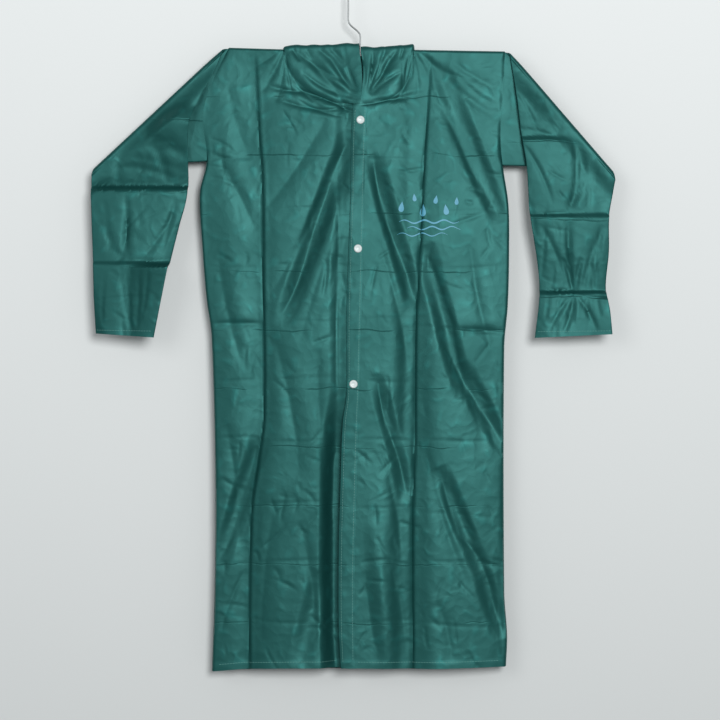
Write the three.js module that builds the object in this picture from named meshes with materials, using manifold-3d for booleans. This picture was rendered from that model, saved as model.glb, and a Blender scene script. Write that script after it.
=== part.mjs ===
// A raincoat of coated film hanging flat from a wire hanger.
// Millimetres, +Z up. The front faces -Y and the wearer's right side lies towards -X.
// The origin is the seat of the hook, the underside of its wire at the top of the arc.
import * as THREE from "three";
import Module from "manifold-3d";
import { mergeVertices } from "three/addons/utils/BufferGeometryUtils.js";

// Thickness of every cloth wall, and the gap between pieces where they are sewn
const WALL = 1.5;
const SEAM = 0.3;
// Step of the numeric slopes, and the least half depth left inside a flattened tube
const STEP = 0.05;
const HOLLOW_LEAST = 0.06;

// Wire of the hanger
const WIRE_RADIUS = 1.2;
const HOOK_RADIUS = 16.4;
const HOOK_CENTRE_Z = WIRE_RADIUS - HOOK_RADIUS;

// Coat outline from the front: armhole above, side seam below
const RIGHT_OUTLINE = [
  { z: -99.4, x: -183.4 },
  { z: -137, x: -202.4 },
  { z: -189, x: -219.6 },
  { z: -258.3, x: -214.2 },
  { z: -301, x: -223.6 },
  { z: -385, x: -219.8 },
  { z: -452, x: -214.2 },
  { z: -503, x: -207.4 },
  { z: -704, x: -202 },
  { z: -855, x: -203 },
  { z: -971.6, x: -206.8 },
];
const LEFT_OUTLINE = [
  { z: -104.6, x: 202.4 },
  { z: -137, x: 201.6 },
  { z: -221, x: 196.7 },
  { z: -264.2, x: 199.6 },
  { z: -318, x: 207.4 },
  { z: -385, x: 208.4 },
  { z: -459, x: 206.6 },
  { z: -519, x: 201.6 },
  { z: -860, x: 201.6 },
  { z: -922, x: 205.6 },
  { z: -964.4, x: 204 },
];
// Hem heights of the front and of the back
const FRONT_HEM = [
  { x: -207, z: -971.4 },
  { x: -150, z: -967 },
  { x: -30, z: -965.6 },
  { x: 100, z: -966.6 },
  { x: 204, z: -964.4 },
];
const BACK_HEM = [
  { x: -207, z: -971.4 },
  { x: -100, z: -968.6 },
  { x: 30, z: -969.4 },
  { x: 150, z: -969 },
  { x: 204, z: -964.4 },
];

// Neck: a half oval on each side, from the shoulder corners down to the throat
const THROAT_Z = -177.8;
const RIGHT_CORNER = { x: -107.2, z: -101.7, roundness: 2 };
const LEFT_CORNER = { x: 75.4, z: -102.3, roundness: 2.4 };
const BACK_NECK_Z = -101.7;
const RIGHT_SHOULDER = { x: -183.4, z: -99.4 };
const LEFT_SHOULDER = { x: 202.4, z: -104.6 };
const RIGHT_UNDERARM = { x: -214.2, z: -258.3 };
const LEFT_UNDERARM = { x: 199.6, z: -264.2 };
// Lines that run down from the neck corners: how far in or out they have moved, and over what run
const CORNER_LINE_TOP_Z = -180;
const RIGHT_CORNER_LINE = { x: -110, run: 300 };
const LEFT_CORNER_LINE = { x: 48, run: 260 };
// Columns leave the places of the neck seam between these heights
const NECK_LEAVE_Z = -260;
const NECK_LEAVE_RUN = 80;
// Height that every column of a panel crosses between its neck and its underarm
const CHEST_Z = -200;
const HEM_Z = -970;
const BACK_MIDDLE_X = -16;
// Shares of the way from the throat to a neck corner at which the columns of a hood half meet the seam
const NECK_SHARES = [0, 0.195, 0.383, 0.556, 0.707, 0.831, 0.924, 0.981, 1];
// Shares of the armhole's height at which the sleeve's sections meet it
const ARMHOLE_SEATS = [0, 0.0189, 0.2594, 0.5, 0.7406, 0.9811, 1];

// Front opening: free edge of the overlapping left front, inner edge of its band, and the overlap
const OPENING_EDGE = [
  { z: -176, x: -9.2 },
  { z: -227, x: -12 },
  { z: -323, x: -13.2 },
  { z: -385, x: -15.7 },
  { z: -476, x: -18.4 },
  { z: -584, x: -18.6 },
  { z: -624, x: -23.9 },
  { z: -707, x: -27 },
  { z: -799, x: -29.4 },
  { z: -907, x: -29.4 },
  { z: -972, x: -26 },
];
const BAND_EDGE = [
  { z: -176, x: 10.2 },
  { z: -263, x: 7 },
  { z: -461, x: 2.5 },
  { z: -816, x: -7 },
  { z: -972, x: -7 },
];
const OVERLAP = 22;
const UNDERLAP_DROP = 3;
const BAND_WALL = 1;
const SNAPS = [
  { name: "snap_1", x: 0.7, z: -200.9 },
  { name: "snap_2", x: -2.8, z: -380.8 },
  { name: "snap_3", x: -9.1, z: -569.8 },
];
const SNAP_RADIUS = 5.75;
// Below the last snap the underlapping front falls back and leaves a slit
const SLIT_TOP_Z = -590;
const SLIT_RUN = 120;
const SLIT_DROP = 14;

// Depth of the hanging coat from its middle plane
const FRONT_DEPTH = [
  { z: -95, depth: 4.6 },
  { z: -180, depth: 7.6 },
  { z: -258, depth: 10 },
  { z: -420, depth: 14 },
  { z: -700, depth: 18 },
  { z: -975, depth: 21 },
];
const BACK_DEPTH = [
  { z: -95, depth: 4.65 },
  { z: -180, depth: 5.4 },
  { z: -350, depth: 7.2 },
  { z: -500, depth: 10 },
  { z: -975, depth: 13 },
];
const SIDE_ROLL = 12;
const SHOULDER_ROLL = 7;
// Share of the front's depth that is lost towards the sides
const LENS = 0.2;
const LENS_HALF_WIDTH = 215;

// Upright packaging creases of the two fronts
const RIGHT_CREASE = [
  { z: -95, x: -146.4 },
  { z: -120, x: -145.6 },
  { z: -232, x: -140 },
  { z: -279, x: -136.4 },
  { z: -414, x: -135.4 },
  { z: -615, x: -134 },
  { z: -676, x: -141.7 },
  { z: -738, x: -150.4 },
  { z: -855, x: -154 },
  { z: -975, x: -154 },
];
const LEFT_CREASE = [
  { z: -95, x: 101 },
  { z: -160, x: 96.6 },
  { z: -276, x: 89 },
  { z: -409, x: 83 },
  { z: -476, x: 78.4 },
  { z: -645, x: 77 },
  { z: -753, x: 73.9 },
  { z: -975, x: 73.9 },
];
const CREASE_REACH = 8;
const RIGHT_CREASE_STEP = 4;
const LEFT_CREASE_DEPTH = 5;
const BACK_CREASE_DEPTH = 2.4;

// Drag folds: each runs from one point to another, sinks by depth and reaches out on both sides
const FRONT_FOLDS = [
  { fromX: -12, fromZ: -215, toX: -109, toZ: -490, depth: 8, reach: 19 },
  { fromX: 6, fromZ: -250, toX: -84, toZ: -500, depth: -3, reach: 18 },
  { fromX: 108, fromZ: -120, toX: 197, toZ: -345, depth: 7, reach: 19 },
  { fromX: 90, fromZ: -375, toX: 146, toZ: -590, depth: 7, reach: 19 },
  { fromX: 140, fromZ: -540, toX: 204, toZ: -668, depth: 6, reach: 19 },
  { fromX: 16, fromZ: -248, toX: 80, toZ: -470, depth: 6, reach: 17 },
  { fromX: 22, fromZ: -555, toX: 67, toZ: -735, depth: 5, reach: 16 },
  { fromX: -138, fromZ: -645, toX: -200, toZ: -830, depth: 6, reach: 18 },
  { fromX: 110, fromZ: -685, toX: 168, toZ: -830, depth: 6, reach: 18 },
  { fromX: 160, fromZ: -800, toX: 200, toZ: -925, depth: 5, reach: 18 },
  { fromX: -56, fromZ: -830, toX: -84, toZ: -965, depth: 4, reach: 20 },
  { fromX: 22, fromZ: -760, toX: 40, toZ: -965, depth: -3, reach: 22 },
];
const BACK_FOLDS = [
  { fromX: -60, fromZ: -420, toX: -96, toZ: -965, depth: 4, reach: 24 },
  { fromX: 70, fromZ: -400, toX: 92, toZ: -965, depth: 4, reach: 24 },
  { fromX: -176, fromZ: -330, toX: -150, toZ: -720, depth: 3.5, reach: 22 },
  { fromX: 150, fromZ: -380, toX: 170, toZ: -860, depth: 3.5, reach: 22 },
  { fromX: 6, fromZ: -560, toX: 10, toZ: -968, depth: -2.5, reach: 26 },
];

// Hood, folded back over the neck: path lengths run from the start of the fold
const HOOD_FOLD_Z = -101.4;
const HOOD_FOLD_RADIUS = 6;
const HOOD_LENGTH = 268;
const HOOD_CROWN_DROP = 74;
const HOOD_END_ROLL = 6;
const HOOD_HALF_WIDTH = { right: 119, left: 113 };
const HOOD_FORM = [
  { along: 0, half: 3.2, drift: 0, slit: 1.7, spread: 0 },
  { along: 19, half: 3.2, drift: 0, slit: 1.7, spread: 0.06 },
  { along: 60, half: 4.4, drift: 1.4, slit: 4, spread: 0.45 },
  { along: 130, half: 7.4, drift: 5, slit: 9, spread: 1 },
  { along: 185, half: 7.4, drift: 6, slit: 5, spread: 1 },
  { along: 225, half: 6, drift: 6, slit: 0.15, spread: 0.9 },
  { along: 268, half: 4.6, drift: 5, slit: 0.15, spread: 0.75 },
];
const HOOD_PLEATS = [
  { side: -1, fromX: -3, fromZ: -150, toX: -46, toZ: -104, depth: 1.6, reach: 8 },
  { side: -1, fromX: -22, fromZ: -142, toX: -62, toZ: -108, depth: 1.4, reach: 9 },
  { side: 1, fromX: 8, fromZ: -150, toX: 20, toZ: -104, depth: 1.5, reach: 7 },
  { side: 1, fromX: 12, fromZ: -142, toX: 50, toZ: -108, depth: 1.6, reach: 8 },
];

// Sleeves: a root stands out from the armhole and is bent forward and down along a slanting line
const SLEEVE_ROOT_DEPTH = 2.6;
const SLEEVE_ROOT_SWELL = 2.2;
const SLEEVE_END_ROLL = 3;
const BEND_RADIUS_TOP = 3.2;
const BEND_RADIUS = 6;
const RIGHT_SLEEVE = {
  side: -1,
  foldFrom: { x: -184.6, z: -100.4 },
  foldTo: { x: -370, z: -273.4 },
  rootEnd: { x: -361.5, z: -266 },
  hangTop: { x: -192.6, z: -107.6 },
  inner: [
    { z: -107.6, x: -192.6 },
    { z: -137, x: -206 },
    { z: -172, x: -224 },
    { z: -208, x: -238.6 },
    { z: -303.8, x: -240.6 },
    { z: -351.4, x: -252.4 },
    { z: -401.8, x: -265 },
    { z: -452, x: -275.6 },
    { z: -505, x: -286.3 },
  ],
  outer: [
    { z: -279, x: -375.2 },
    { z: -303.8, x: -375.6 },
    { z: -401.8, x: -372.4 },
    { z: -452, x: -371 },
    { z: -499.4, x: -368.2 },
  ],
  form: [
    { along: 0, half: 3, middle: 12, roll: 3 },
    { along: 0.15, half: 3.4, middle: 12.4, roll: 6 },
    { along: 0.4, half: 5.4, middle: 14, roll: 14 },
    { along: 0.6, half: 8, middle: 15, roll: 22 },
    { along: 0.8, half: 12, middle: 15, roll: 28 },
    { along: 1, half: 18, middle: 16, roll: 32 },
  ],
};
const LEFT_SLEEVE = {
  side: 1,
  foldFrom: { x: 203.4, z: -105.6 },
  foldTo: { x: 351, z: -276.9 },
  rootEnd: { x: 342.6, z: -267.2 },
  hangTop: { x: 209.8, z: -113 },
  inner: [
    { z: -113, x: 209.8 },
    { z: -154, x: 216.6 },
    { z: -221, x: 225 },
    { z: -266, x: 232.4 },
    { z: -330, x: 236.6 },
    { z: -397.6, x: 247 },
    { z: -439.6, x: 250.4 },
    { z: -505.4, x: 243.6 },
  ],
  outer: [
    { z: -283.8, x: 357 },
    { z: -301, x: 353.6 },
    { z: -336, x: 347.6 },
    { z: -385, x: 347.2 },
    { z: -435.4, x: 343.2 },
    { z: -469, x: 348.4 },
    { z: -500.4, x: 351.4 },
  ],
  form: [
    { along: 0, half: 3, middle: 12, roll: 3 },
    { along: 0.15, half: 3.4, middle: 12.4, roll: 5 },
    { along: 0.4, half: 5.2, middle: 14, roll: 12 },
    { along: 0.6, half: 6.4, middle: 14, roll: 16 },
    { along: 0.8, half: 5, middle: 13, roll: 14 },
    { along: 0.9, half: 7, middle: 14, roll: 20 },
    { along: 1, half: 9, middle: 14, roll: 26 },
  ],
};

// Colours of the finished pieces
const COAT_COLOUR = 0x39736e;
const SNAP_COLOUR = 0xd5e0e0;
const WIRE_COLOUR = 0x8f9496;

const clamp01 = (s) => Math.min(Math.max(s, 0), 1);
const mix = (a, b, s) => a + (b - a) * s;
const smooth = (s) => clamp01(s) ** 2 * (3 - 2 * clamp01(s));

// Quarter of a circle rising from 0 to 1, and its mirror image below 0
function quarter(s) {
  if (s < 0) return -quarter(-s);
  return s >= 1 ? 1 : Math.sqrt(1 - (1 - s) ** 2);
}

// Smooth curve through the rows of a table, as a function from one column to another
function curveThrough(rows, from, to) {
  const rising = rows[1][from] > rows[0][from] ? 1 : -1;
  const slopeAt = (k) => {
    const before = rows[Math.max(k - 1, 0)];
    const after = rows[Math.min(k + 1, rows.length - 1)];
    return (after[to] - before[to]) / (after[from] - before[from]);
  };
  return (at) => {
    let k = 0;
    while (k < rows.length - 2 && (at - rows[k + 1][from]) * rising > 0) k += 1;
    const run = rows[k + 1][from] - rows[k][from];
    const s = clamp01((at - rows[k][from]) / run);
    const bump = s * (1 - s) * run;
    const straight = mix(rows[k][to], rows[k + 1][to], s ** 2 * (3 - 2 * s));
    return straight + bump * ((1 - s) * slopeAt(k) - s * slopeAt(k + 1));
  };
}

// The outline with its armhole straight between the places where the sleeve is sewn to it
function sewnOutline(rows, shoulder, underarm) {
  const curve = curveThrough(rows, "z", "x");
  const seat = (share) => mix(shoulder.z, underarm.z, share);
  return (z) => {
    const share = (shoulder.z - z) / (shoulder.z - underarm.z);
    if (share <= 0 || share >= 1) return curve(z);
    const next = ARMHOLE_SEATS.findIndex((place) => place >= share);
    const from = ARMHOLE_SEATS[next - 1];
    const to = ARMHOLE_SEATS[next];
    return mix(curve(seat(from)), curve(seat(to)), (share - from) / (to - from));
  };
}

const rightEdge = sewnOutline(RIGHT_OUTLINE, RIGHT_SHOULDER, RIGHT_UNDERARM);
const leftEdge = sewnOutline(LEFT_OUTLINE, LEFT_SHOULDER, LEFT_UNDERARM);
const frontHem = curveThrough(FRONT_HEM, "x", "z");
const backHem = curveThrough(BACK_HEM, "x", "z");
const openingEdge = curveThrough(OPENING_EDGE, "z", "x");
const bandEdge = curveThrough(BAND_EDGE, "z", "x");
const rightCrease = curveThrough(RIGHT_CREASE, "z", "x");
const leftCrease = curveThrough(LEFT_CREASE, "z", "x");
const frontDepth = curveThrough(FRONT_DEPTH, "z", "depth");
const backDepth = curveThrough(BACK_DEPTH, "z", "depth");
const hoodHalf = curveThrough(HOOD_FORM, "along", "half");
const hoodDrift = curveThrough(HOOD_FORM, "along", "drift");
const hoodSlit = curveThrough(HOOD_FORM, "along", "slit");
const hoodSpread = curveThrough(HOOD_FORM, "along", "spread");

// Signed distance below the shoulder seam between its neck corner and the shoulder point
function belowShoulder(x, z, corner, shoulder) {
  const runX = shoulder.x - corner.x;
  const runZ = shoulder.z - corner.z;
  const share = clamp01(((x - corner.x) * runX + (z - corner.z) * runZ) / (runX ** 2 + runZ ** 2));
  const lineX = corner.x + share * runX;
  const lineZ = corner.z + share * runZ;
  const away = Math.hypot(x - lineX, z - lineZ);
  return z > lineZ && share > 0 ? -away : away;
}

// Drag folds: a rounded trough with soft ends along each row's line
function foldsAt(x, z, folds) {
  let sunk = 0;
  for (const fold of folds) {
    const runX = fold.toX - fold.fromX;
    const runZ = fold.toZ - fold.fromZ;
    const length = Math.hypot(runX, runZ);
    const share = ((x - fold.fromX) * runX + (z - fold.fromZ) * runZ) / length ** 2;
    const away = Math.abs((x - fold.fromX) * runZ - (z - fold.fromZ) * runX) / length;
    if (share <= 0 || share >= 1 || away >= fold.reach) continue;
    const ends = Math.sin(Math.PI * share) ** 0.7;
    sunk += fold.depth * ends * Math.cos((Math.PI / 2) * (away / fold.reach)) ** 2;
  }
  return sunk;
}

// Half depth of the open armhole at a height, and how far it is from closed
function armholeAt(z, shoulder, underarm) {
  const share = (shoulder.z - z) / (shoulder.z - underarm.z);
  if (share <= 0 || share >= 1) return { depth: SEAM / 2, open: 0 };
  const fromEnd = Math.min(share, 1 - share) * (shoulder.z - underarm.z);
  const swell = SLEEVE_ROOT_DEPTH + SLEEVE_ROOT_SWELL * Math.sin(Math.PI * share);
  return {
    depth: Math.max(SEAM / 2, swell * quarter(fromEnd / SLEEVE_END_ROLL)),
    open: smooth(fromEnd / 14),
  };
}

// Depth of a face of the coat: rolled to the side seams and the shoulder seams
function rolledDepth(x, z, full) {
  const fromRight = x - rightEdge(z);
  const fromLeft = leftEdge(z) - x;
  const onRight = fromRight < fromLeft;
  const inset = Math.min(fromRight, fromLeft);
  const shoulder = onRight ? RIGHT_SHOULDER : LEFT_SHOULDER;
  const underarm = onRight ? RIGHT_UNDERARM : LEFT_UNDERARM;
  const corner = onRight ? RIGHT_CORNER : LEFT_CORNER;
  const armhole = armholeAt(z, shoulder, underarm);
  const roll = Math.min(SIDE_ROLL, full * 1.1);
  const seamed = quarter(inset / roll);
  const open = smooth(inset / (1.6 * roll));
  const side = armhole.depth + (full - armhole.depth) * mix(seamed, open, armhole.open);
  const top = quarter(belowShoulder(x, z, corner, shoulder) / SHOULDER_ROLL);
  return SEAM / 2 + (side - SEAM / 2) * top;
}

// Outer surface of the fronts: fullest at the middle, creases and folds sink into it
function frontAt(x, z) {
  const lens = mix(1, Math.cos((Math.PI / 2) * clamp01(Math.abs(x) / LENS_HALF_WIDTH)), LENS);
  const left = x - leftCrease(z);
  const right = rightCrease(z) - x;
  const valley = Math.cos((Math.PI / 2) * Math.min(Math.abs(left) / CREASE_REACH, 1)) ** 2;
  const step = smooth((right + CREASE_REACH / 2) / CREASE_REACH) * (1 - smooth((right - 10) / 42));
  const fadeTop = smooth((-104 - z) / 40);
  const creases = LEFT_CREASE_DEPTH * valley + RIGHT_CREASE_STEP * step;
  const sunk = fadeTop * (creases + foldsAt(x, z, FRONT_FOLDS));
  return rolledDepth(x, z, frontDepth(z) * lens - sunk);
}

// The right front passes under the left one, and falls back below the last snap
function underFrontAt(x, z) {
  const past = x - openingEdge(z);
  const drop = UNDERLAP_DROP * smooth((past + 26) / 18);
  const slit = SLIT_DROP * smooth((SLIT_TOP_Z - z) / SLIT_RUN) * smooth((past + 40) / 32);
  return frontAt(x, z) - drop - slit;
}

// Outer surface of the back
function backAt(x, z) {
  const fadeTop = smooth((-110 - z) / 60);
  const rightWay = (x - rightCrease(z)) / CREASE_REACH;
  const leftWay = (x - leftCrease(z)) / CREASE_REACH;
  const creases =
    Math.cos((Math.PI / 2) * Math.min(Math.abs(rightWay), 1)) ** 2 +
    Math.cos((Math.PI / 2) * Math.min(Math.abs(leftWay), 1)) ** 2;
  const sunk = fadeTop * (BACK_CREASE_DEPTH * creases + foldsAt(x, z, BACK_FOLDS));
  return rolledDepth(x, z, backDepth(z) - sunk);
}

// Height of the neck seam of the fronts
function neckSeam(x) {
  const corner = x < 0 ? RIGHT_CORNER : LEFT_CORNER;
  const across = clamp01(Math.abs(x) / (Math.abs(corner.x) - SEAM));
  const drop = (1 - across ** corner.roundness) ** (1 / corner.roundness);
  return mix(corner.z, THROAT_Z, drop);
}

// Top edge of a face of the coat: the neck between the corners, the shoulder seams outside them
function topEdge(x, neck) {
  if (x < RIGHT_CORNER.x + STEP) {
    const share = (x - RIGHT_CORNER.x) / (RIGHT_SHOULDER.x - RIGHT_CORNER.x);
    return mix(RIGHT_CORNER.z, RIGHT_SHOULDER.z, share);
  }
  if (x > LEFT_CORNER.x - STEP) {
    const share = (x - LEFT_CORNER.x) / (LEFT_SHOULDER.x - LEFT_CORNER.x);
    return mix(LEFT_CORNER.z, LEFT_SHOULDER.z, share);
  }
  const steepness = Math.hypot(neck(x + 0.5) - neck(x - 0.5), 1);
  return neck(x) - SEAM * Math.min(steepness, 16);
}

// A wall between matching rows of outer and inner points, open at the ends of its rows or closed
function wallGeometry(outer, inner, options) {
  const rows = outer.length;
  const columns = outer[0].length;
  const positions = [];
  for (const point of [...outer.flat(), ...inner.flat()]) positions.push(...point.toArray());
  const at = (layer, j, i) => layer * rows * columns + j * columns + (i % columns);
  const faces = [];
  const quad = (a, b, c, d) => faces.push(a, b, c, a, c, d);
  const lastColumn = options.closed ? columns : columns - 1;
  for (let j = 0; j < rows - 1; j += 1)
    for (let i = 0; i < lastColumn; i += 1) {
      quad(at(0, j, i), at(0, j, i + 1), at(0, j + 1, i + 1), at(0, j + 1, i));
      quad(at(1, j, i), at(1, j + 1, i), at(1, j + 1, i + 1), at(1, j, i + 1));
    }
  for (let i = 0; i < lastColumn; i += 1) {
    quad(at(0, 0, i), at(1, 0, i), at(1, 0, i + 1), at(0, 0, i + 1));
    if (!options.welded)
      quad(at(0, rows - 1, i), at(0, rows - 1, i + 1), at(1, rows - 1, i + 1), at(1, rows - 1, i));
  }
  if (!options.closed)
    for (let j = 0; j < rows - 1; j += 1) {
      const k = columns - 1;
      quad(at(0, j, 0), at(0, j + 1, 0), at(1, j + 1, 0), at(1, j, 0));
      quad(at(0, j, k), at(1, j, k), at(1, j + 1, k), at(0, j + 1, k));
    }
  return facingOut(positions, faces);
}

// One closed geometry whose faces point outwards
function facingOut(positions, faces) {
  let volume = 0;
  const corner = (k) => new THREE.Vector3().fromArray(positions, 3 * faces[k]);
  for (let k = 0; k < faces.length; k += 3)
    volume += corner(k).dot(corner(k + 1).cross(corner(k + 2)));
  if (volume < 0) faces.reverse();
  const geometry = new THREE.BufferGeometry();
  geometry.setAttribute("position", new THREE.Float32BufferAttribute(positions, 3));
  geometry.setIndex(faces);
  const merged = mergeVertices(geometry, 1e-4);
  const kept = [];
  const index = merged.index.array;
  for (let k = 0; k < index.length; k += 3) {
    const [a, b, c] = [index[k], index[k + 1], index[k + 2]];
    if (a !== b && b !== c && c !== a) kept.push(a, b, c);
  }
  merged.setIndex(kept);
  merged.computeVertexNormals();
  return merged;
}

// Outer and inner point of a wall that lies on a depth field
function wallPoints(x, z, depthAt, wall) {
  const depth = depthAt(x, z);
  const slopeX = (depthAt(x + STEP, z) - depthAt(x - STEP, z)) / (2 * STEP);
  const slopeZ = (depthAt(x, z + STEP) - depthAt(x, z - STEP)) / (2 * STEP);
  const length = Math.hypot(slopeX, slopeZ, 1);
  return {
    outer: { x, z, depth },
    inner: {
      x: x + (slopeX / length) * wall,
      z: z + (slopeZ / length) * wall,
      depth: depth - wall / length,
    },
  };
}

// Points of a panel of the coat: rows of heights by columns across, on the side it faces
function panelPoints(panel) {
  const outer = [];
  const inner = [];
  const columns = panel.columns.map((column) => {
    let x = column(CHEST_Z);
    for (let k = 0; k < 12; k += 1) x = column(panel.top(x));
    return { column, topX: x, topZ: panel.top(x) };
  });
  const under = (x) => {
    const share = (x - RIGHT_UNDERARM.x) / (LEFT_UNDERARM.x - RIGHT_UNDERARM.x);
    return mix(RIGHT_UNDERARM.z, LEFT_UNDERARM.z, share);
  };
  for (const row of panel.rows) {
    const outerRow = [];
    const innerRow = [];
    for (const { column, topX, topZ } of columns) {
      const levels = [topZ, CHEST_Z, under(topX), panel.hem(column(HEM_Z))];
      const z = mix(levels[row.level], levels[row.level + 1], row.share);
      const x = row.level === 0 && row.share === 0 ? topX : column(z);
      const { outer: out, inner: back } = wallPoints(x, z, panel.depth, WALL);
      const innerDepth = Math.max(back.depth, SEAM / 2);
      outerRow.push(new THREE.Vector3(out.x, panel.facing * out.depth, out.z));
      innerRow.push(new THREE.Vector3(back.x, panel.facing * innerDepth, back.z));
    }
    outer.push(outerRow);
    inner.push(innerRow);
  }
  return { outer, inner };
}

function panelGeometry(panel) {
  const { outer, inner } = panelPoints(panel);
  return wallGeometry(outer, inner, { closed: false });
}

// Even shares up to 1, without the 0
function evenShares(count) {
  return Array.from({ length: count }, (_, k) => (k + 1) / count);
}

// Rows of a panel: close together at the shoulder seam and at the underarm
function panelRows(lower) {
  const upper = [0, 0.006, 0.02, 0.045, 0.085, 0.15, 0.28, 0.45, 0.7];
  const middle = [0, 0.33, 0.66, 0.9, 0.975];
  const under = [0, 0.003, 0.012, 0.03, 0.06];
  const rest = evenShares(lower).map((share) => mix(0.06, 1, share));
  return [
    ...upper.map((share) => ({ level: 0, share })),
    ...middle.map((share) => ({ level: 1, share })),
    ...under.map((share) => ({ level: 2, share })),
    ...rest.map((share) => ({ level: 2, share })),
  ];
}

// Even columns between two lines, without the first
function columnsBetween(from, to, count) {
  return evenShares(count).map((share) => (z) => mix(from(z), to(z), share));
}

// Column that meets the neck seam at a share of the way to its corner, and leaves it for a line
function neckColumn(corner, share, line) {
  const side = Math.sign(corner.x);
  const seat = share === 1 ? corner.x : side * mix(HOOD_FORM[0].slit, Math.abs(corner.x) - SEAM, share);
  return (z) => mix(line(z), seat, smooth((z - NECK_LEAVE_Z) / NECK_LEAVE_RUN));
}

// Columns of the roll into a side seam
function rollColumns(edge, side) {
  const turns = [0.25, 0.5, 0.75, 1];
  return turns.map((turn) => (z) => {
    return edge(z) - side * SIDE_ROLL * (1 - Math.sin((Math.PI / 2) * turn));
  });
}

const offset = (line, by) => (z) => line(z) + by;
const cornerLine = (corner, line) => (z) =>
  mix(corner.x, line.x, smooth((CORNER_LINE_TOP_Z - z) / line.run));
const rightCornerLine = cornerLine(RIGHT_CORNER, RIGHT_CORNER_LINE);
const leftCornerLine = cornerLine(LEFT_CORNER, LEFT_CORNER_LINE);
const underEdge = offset(openingEdge, OVERLAP);
const creaseOffsets = [3, 0, -3, -CREASE_REACH];

function frontRightGeometry() {
  const creaseStart = offset(rightCrease, CREASE_REACH);
  const creaseEnd = offset(rightCrease, -CREASE_REACH);
  return panelGeometry({
    facing: -1,
    depth: underFrontAt,
    top: (x) => topEdge(x, neckSeam),
    hem: frontHem,
    rows: panelRows(15),
    columns: [
      underEdge,
      ...columnsBetween(underEdge, rightCornerLine, NECK_SHARES.length).map((line, k) =>
        neckColumn(RIGHT_CORNER, NECK_SHARES[k], line),
      ),
      ...columnsBetween(rightCornerLine, creaseStart, 2),
      ...creaseOffsets.map((by) => offset(rightCrease, by)),
      ...columnsBetween(creaseEnd, offset(rightEdge, SIDE_ROLL), 3),
      ...rollColumns(rightEdge, -1),
    ],
  });
}

// The left front; its first three columns carry the snap band
function frontLeftPoints() {
  const creaseStart = offset(leftCrease, -CREASE_REACH);
  const creaseEnd = offset(leftCrease, CREASE_REACH);
  const bandMiddle = (z) => mix(openingEdge(z), bandEdge(z), 0.5);
  return panelPoints({
    facing: -1,
    depth: frontAt,
    top: (x) => topEdge(x, neckSeam),
    hem: frontHem,
    rows: panelRows(15),
    columns: [
      openingEdge,
      neckColumn(LEFT_CORNER, NECK_SHARES[0], bandMiddle),
      bandEdge,
      ...columnsBetween(bandEdge, leftCornerLine, NECK_SHARES.length - 1).map((line, k) =>
        neckColumn(LEFT_CORNER, NECK_SHARES[k + 1], line),
      ),
      creaseStart,
      ...creaseOffsets.map((by) => offset(leftCrease, -by)),
      ...columnsBetween(creaseEnd, offset(leftEdge, -SIDE_ROLL), 6),
      ...rollColumns(leftEdge, 1),
    ],
  });
}

function backGeometry() {
  const middle = () => BACK_MIDDLE_X;
  return panelGeometry({
    facing: 1,
    depth: backAt,
    top: (x) => topEdge(x, () => BACK_NECK_Z),
    hem: backHem,
    rows: panelRows(9),
    columns: [
      ...rollColumns(rightEdge, -1).reverse(),
      offset(rightEdge, SIDE_ROLL),
      ...columnsBetween(offset(rightEdge, SIDE_ROLL), rightCornerLine, 3),
      ...columnsBetween(rightCornerLine, middle, 3),
      ...columnsBetween(middle, leftCornerLine, 3),
      ...columnsBetween(leftCornerLine, offset(leftEdge, -SIDE_ROLL), 4),
      ...rollColumns(leftEdge, 1),
    ],
  });
}

// The snap band: a strip made from the points of the left front, moved out
function placketGeometry(frontLeft) {
  const rows = frontLeft.outer.slice(1).map((row) => row.slice(0, 3));
  const moved = (by) => rows.map((row) => row.map((point) => point.clone().setY(point.y - by)));
  return wallGeometry(moved(SEAM + BAND_WALL), moved(SEAM), { closed: false });
}

// A snap cap: a low ring round a shallow dimple, turned about its own axis
function snapGeometry(snap) {
  const profile = [
    { radius: 0, height: 0 },
    { radius: SNAP_RADIUS - 0.5, height: 0 },
    { radius: SNAP_RADIUS, height: 0.5 },
    { radius: SNAP_RADIUS - 0.6, height: 1.6 },
    { radius: 3.8, height: 2.1 },
    { radius: 2.6, height: 1.9 },
    { radius: 1.8, height: 1.3 },
    { radius: 0, height: 1.2 },
  ];
  const points = profile.map((p) => new THREE.Vector2(p.radius, p.height));
  const cap = new THREE.LatheGeometry(points, 16);
  cap.deleteAttribute("normal");
  cap.deleteAttribute("uv");
  cap.rotateX(Math.PI);
  let proud = frontAt(snap.x, snap.z);
  for (const turn of evenShares(12)) {
    const x = snap.x + SNAP_RADIUS * Math.cos(2 * Math.PI * turn);
    const z = snap.z + SNAP_RADIUS * Math.sin(2 * Math.PI * turn);
    proud = Math.max(proud, frontAt(x, z));
  }
  cap.translate(snap.x, -(proud + SEAM + BAND_WALL + SEAM), snap.z);
  const merged = mergeVertices(cap, 1e-4);
  return facingOut(Array.from(merged.attributes.position.array), Array.from(merged.index.array));
}

// Hood half: half width at a length along the folded path
function hoodWidth(side, along) {
  const neck = side < 0 ? -RIGHT_CORNER.x : LEFT_CORNER.x;
  const hanging = side < 0 ? HOOD_HALF_WIDTH.right : HOOD_HALF_WIDTH.left;
  return mix(neck, hanging, hoodSpread(Math.max(along, 0))) - SEAM;
}

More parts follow.
